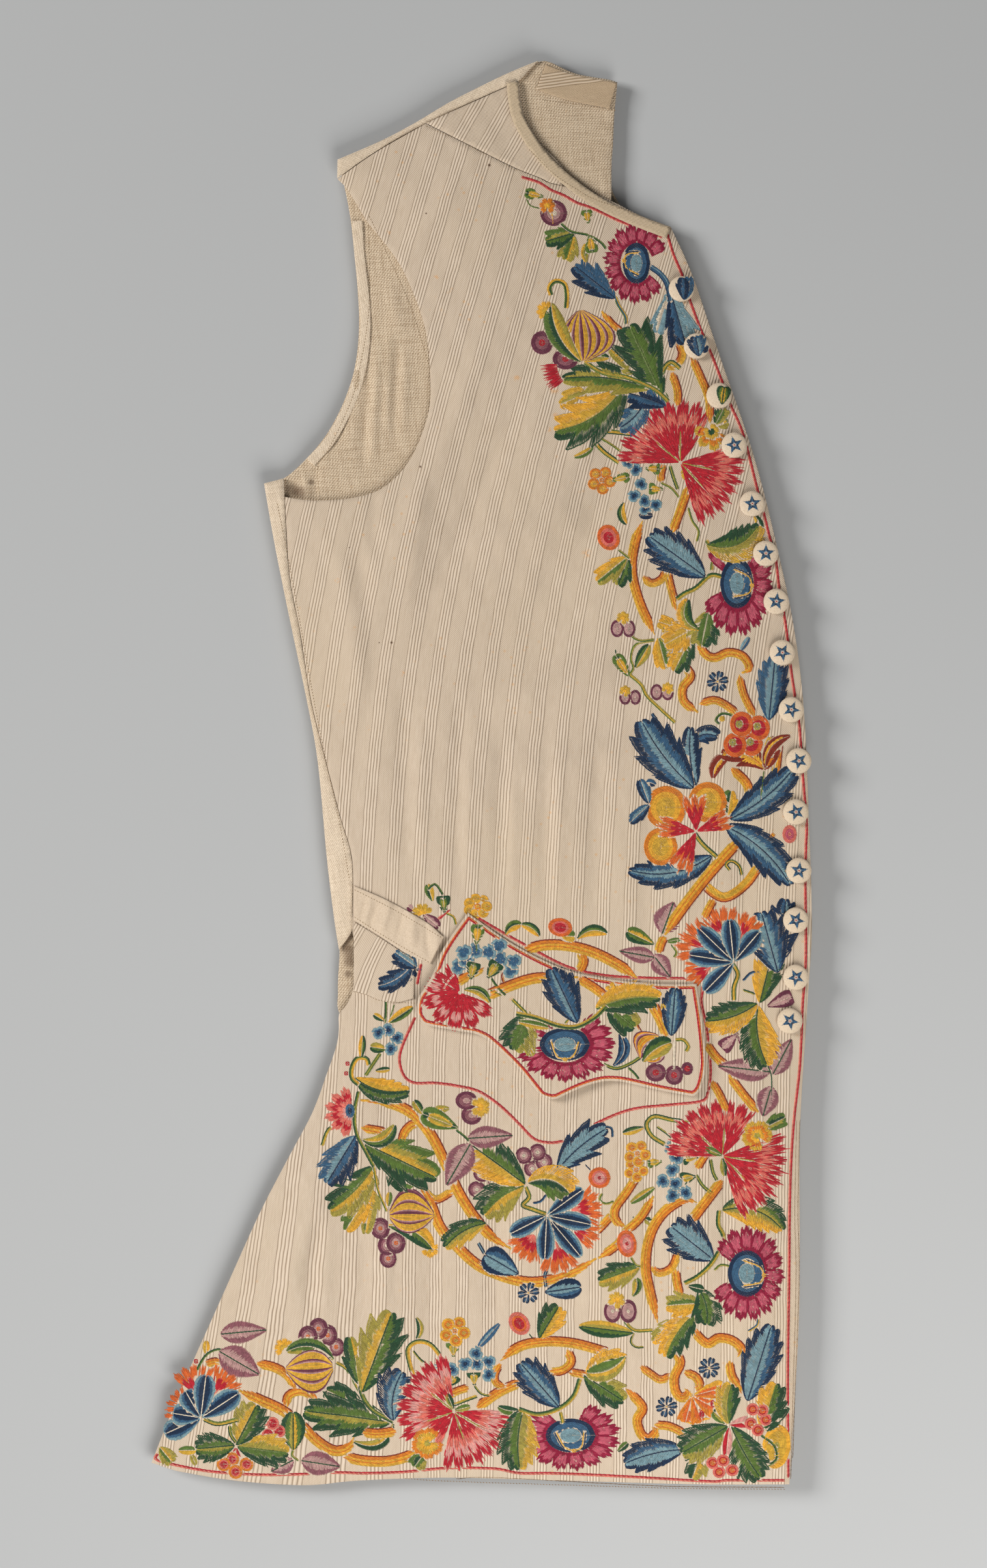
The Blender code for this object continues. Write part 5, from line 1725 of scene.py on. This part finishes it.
def hemCorner():
    leaf((604, 2186), (542, 2214), 17, "forest", "yellow lime", bend=0.3)
    leaf((556, 2138), (602, 2014), 60, "yellow lime", "green forest", 4, 0.5, vein="forest", full=0.9)
    leaf((552, 2126), (537, 2052), 30, "green forest", "yellow lime", 2, 0.4, vein="green")
    stem([(557, 2106), (554, 2136), (570, 2164), (604, 2184)], "forest", "green", "lime", "green")
    leaf((600, 2184), (466, 2166), 58, "lime green forest", "green forest", 4, 0.5, vein="forest")
    leaf((560, 2166), (500, 2134), 36, "green forest", "green forest", 2, 0.3)
    leaf((576, 2186), (508, 2188), 22, "yellow lime", "lime forest", 2, 0.3)
    curl([(574, 2230), (572, 2218), (584, 2214), (590, 2226)], "forest", "lime")
    stem([(516, 2092), (532, 2102), (546, 2126), (556, 2146)], "green", "yellow", "lime")
    bulb((512, 2098), (438, 2102), 60, 0.1, "gold yellow yellow")
    leaf((512, 2088), (440, 2076), 26, "green lime", "forest green", bend=-0.2)
    fan((436, 2070), 130, 220, 16, "yellow gold", 0, 5, 0.25)
    for place, size in (((473, 2052), 30), ((489, 2040), 30), ((503, 2050), 30), ((516, 2068), 26)):
        oval(place, size, size * 1.1, "plum dusk mauve orange")
    heart((338, 2050), (412, 2042), 32, "mauve dusk")
    heart((336, 2076), (400, 2112), 44, "mauve dusk")
    stem([(301, 2106), (314, 2084), (330, 2074), (350, 2073)], "green", "forest")
    leaf((316, 2084), (316, 2060), 11, "yellow", "gold")
    oval((300, 2092), 7, 9, "red")
    petalFlower((308, 2178), [(316, 2112), (367, 2139), (284, 2138), (265, 2172), (252, 2204)],
                [(296, 2100), (346, 2104), (262, 2146), (254, 2186)], 34, "navy navy blue sky")
    stem([(312, 2180), (334, 2187), (366, 2180)], "forest", "yellow", "lime", "green")
    stem([(352, 2190), (354, 2204), (362, 2216)], "forest", "lime", "green")
    leaf((362, 2220), (394, 2157), 46, "yellow lime", "green forest", 4, 0.4, vein="forest")
    leaf((364, 2222), (443, 2232), 44, "lime yellow", "green forest", 4, 0.4, vein="green")
    leaf((360, 2220), (300, 2226), 40, "lime green forest", "green forest", 5, 0.4, vein="forest")
    leaf((308, 2228), (273, 2229), 14, "yellow", "green")
    for place in ((404, 2182), (418, 2186), (428, 2198), (412, 2202), (398, 2212)):
        oval(place, 21, 20, "salmon red red")
    for place in ((343, 2250), (378, 2250), (361, 2262), (356, 2242)):
        oval(place, 22, 22, "amber salmon red red")
    leaf((362, 2224), (361, 2250), 16, "red", "red")
    leaf((244, 2224), (264, 2248), 22, "yellow lime", "green lime", 3, 0.4)
    leaf((292, 2232), (300, 2252), 10, "lime")
    leaf((450, 2228), (450, 2168), 38, "lime green forest", "yellow green forest", vein="forest", full=0.65)
    stem([(450, 2228), (448, 2236), (458, 2244)], "green", "lime")
    heart((462, 2244), (524, 2254), 36, "mauve dusk")
    heart((450, 2243), (414, 2262), 26, "mauve dusk")
    strap([(316, 2096), (328, 2092), (340, 2092)], 13)
    strap([(394, 2094), (422, 2100), (444, 2114), (454, 2134)], 15)
    strap([(364, 2134), (400, 2150), (434, 2166), (462, 2188), (488, 2214), (514, 2229), (536, 2222),
           (546, 2202)], 17)
    strap([(440, 2162), (442, 2144), (458, 2136), (474, 2140), (492, 2156)], 14)
    strap([(524, 2184), (540, 2190), (548, 2200)], 12)
    strap([(524, 2236), (556, 2244), (594, 2245), (624, 2238), (642, 2228)], 17)


print("embroidery")
flapEdge = smoothOutline(widestLoop(welded("pocket_flap")), 2 * mm)
buttonPlaces = []
for number in range(1, buttonCount + 1):
    low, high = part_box(f"button_{number:02d}")
    buttonPlaces.append(tableToChart(np.array([[(low[0] + high[0]) / 2, (low[1] + high[1]) / 2]]))[0])


def coverGround(name, outline, hidden=True):
    loop = tableToChart(outline)
    low, high = loop.min(0).astype(int) - 1, loop.max(0).astype(int) + 2
    across, down = np.meshgrid(np.arange(low[0], high[0]), np.arange(low[1], high[1]))
    within = isInside(np.column_stack([across.ravel(), down.ravel()]).astype(float), loop)
    grounds[name][low[1] : high[1], low[0] : high[0]][within.reshape(across.shape)] = hidden


grounds["flap"][:] = True
coverGround("flap", movedIn(flapEdge, 1.2 * mm), False)
coverGround("front", flapEdge)
coverGround("front", widestLoop(welded("waist_patch")))
buttonReach = 20  # half a button's width on the chart
for x, y in buttonPlaces:
    turn = np.linspace(0, 2 * math.pi, 24, endpoint=False)
    around = np.column_stack([x + buttonReach * np.cos(turn), y + buttonReach * np.sin(turn)])
    coverGround("front", chartToTable(around))

layers = dict(
    front=("frontPanel", "waistInsert", "shoulderWedge"), flap=("pocketFlap",),
    button=tuple(b.name for b in buttons),
    trim=tuple(shapes),
)
trees = {}
for ground, names in layers.items():
    points, faces = [], []
    for name in names:
        faces += [[i + len(points) for i in face] for face in shapes[name][1]]
        points += shapes[name][0]
    trees[ground] = BVHTree.FromPolygons(points, faces)

wool = yarnTree(crewelWool("crewelWool"))
parts = dict(
    crewelNeck=[neckSpray], crewelBreast=[breastSpray], crewelWaist=[waistSpray],
    crewelLow=[lowSpray, pocketTop, leafFragment],
    crewelFlap=[flapSpray], crewelButtons=[buttonMotifs], crewelSide=[sideSpray, pocketUnder],
    crewelSwag=[cornerCarnation, swagSpray], crewelCorner=[skirtCorner], crewelHemMiddle=[hemMiddle],
    crewelHemCorner=[hemCorner],
    redCord=[redLines], handSewing=[seams],
)
for name, motifs in parts.items():
    for motif in motifs:
        motif()
    layYarn(name, work["sewn"], trees, wool, "sewing_thread" if name == "handSewing" else "crewel_wool")
    work["sewn"] = []


# The board, the light and the camera
def studio():
    corners = np.array([(-12, -12, 0), (12, -12, 0), (12, 12, 0), (-12, 12, 0)], float)
    board = meshFrom("board", corners, [[0, 1, 2, 3]], paleBoard("paleBoard"))
    lights = [
        dict(name="windowLight", place=(-4.4, 1.5, 2.9), size=2.0, power=310, tint=(1.0, 0.99, 0.98)),
        dict(name="fillLight", place=(0.6, -1.3, 1.3), size=1.3, power=34, tint=(1.0, 0.98, 0.955)),
    ]
    for s in lights:
        lamp = bpy.data.lights.new(s["name"], "AREA")
        lamp.size, lamp.energy, lamp.color = s["size"], s["power"], s["tint"]
        made = bpy.data.objects.new(s["name"], lamp)
        made.location = s["place"]
        made.rotation_euler = (-Vector(s["place"])).to_track_quat("-Z", "Y").to_euler()
        bpy.context.scene.collection.objects.link(made)
    world = bpy.data.worlds.new("studioAir")
    world.use_nodes = True
    world.node_tree.nodes["Background"].inputs["Color"].default_value = (0.93, 0.96, 1.0, 1.0)
    world.node_tree.nodes["Background"].inputs["Strength"].default_value = 0.13
    bpy.context.scene.world = world
    bpy.context.scene.view_settings.view_transform = "Standard"


def cameraAbove(height=1.0436, centre=(0.0080, -0.0074), distance=3.2, level=0.016, film=36.0):
    camera = bpy.data.cameras.new("camera")
    camera.sensor_fit, camera.sensor_height, camera.lens = "VERTICAL", film, film * distance / height
    camera.clip_end = 50
    made = bpy.data.objects.new("camera", camera)
    made.location = (*centre, level + distance)
    bpy.context.scene.collection.objects.link(made)
    bpy.context.scene.camera = made


studio()
cameraAbove()
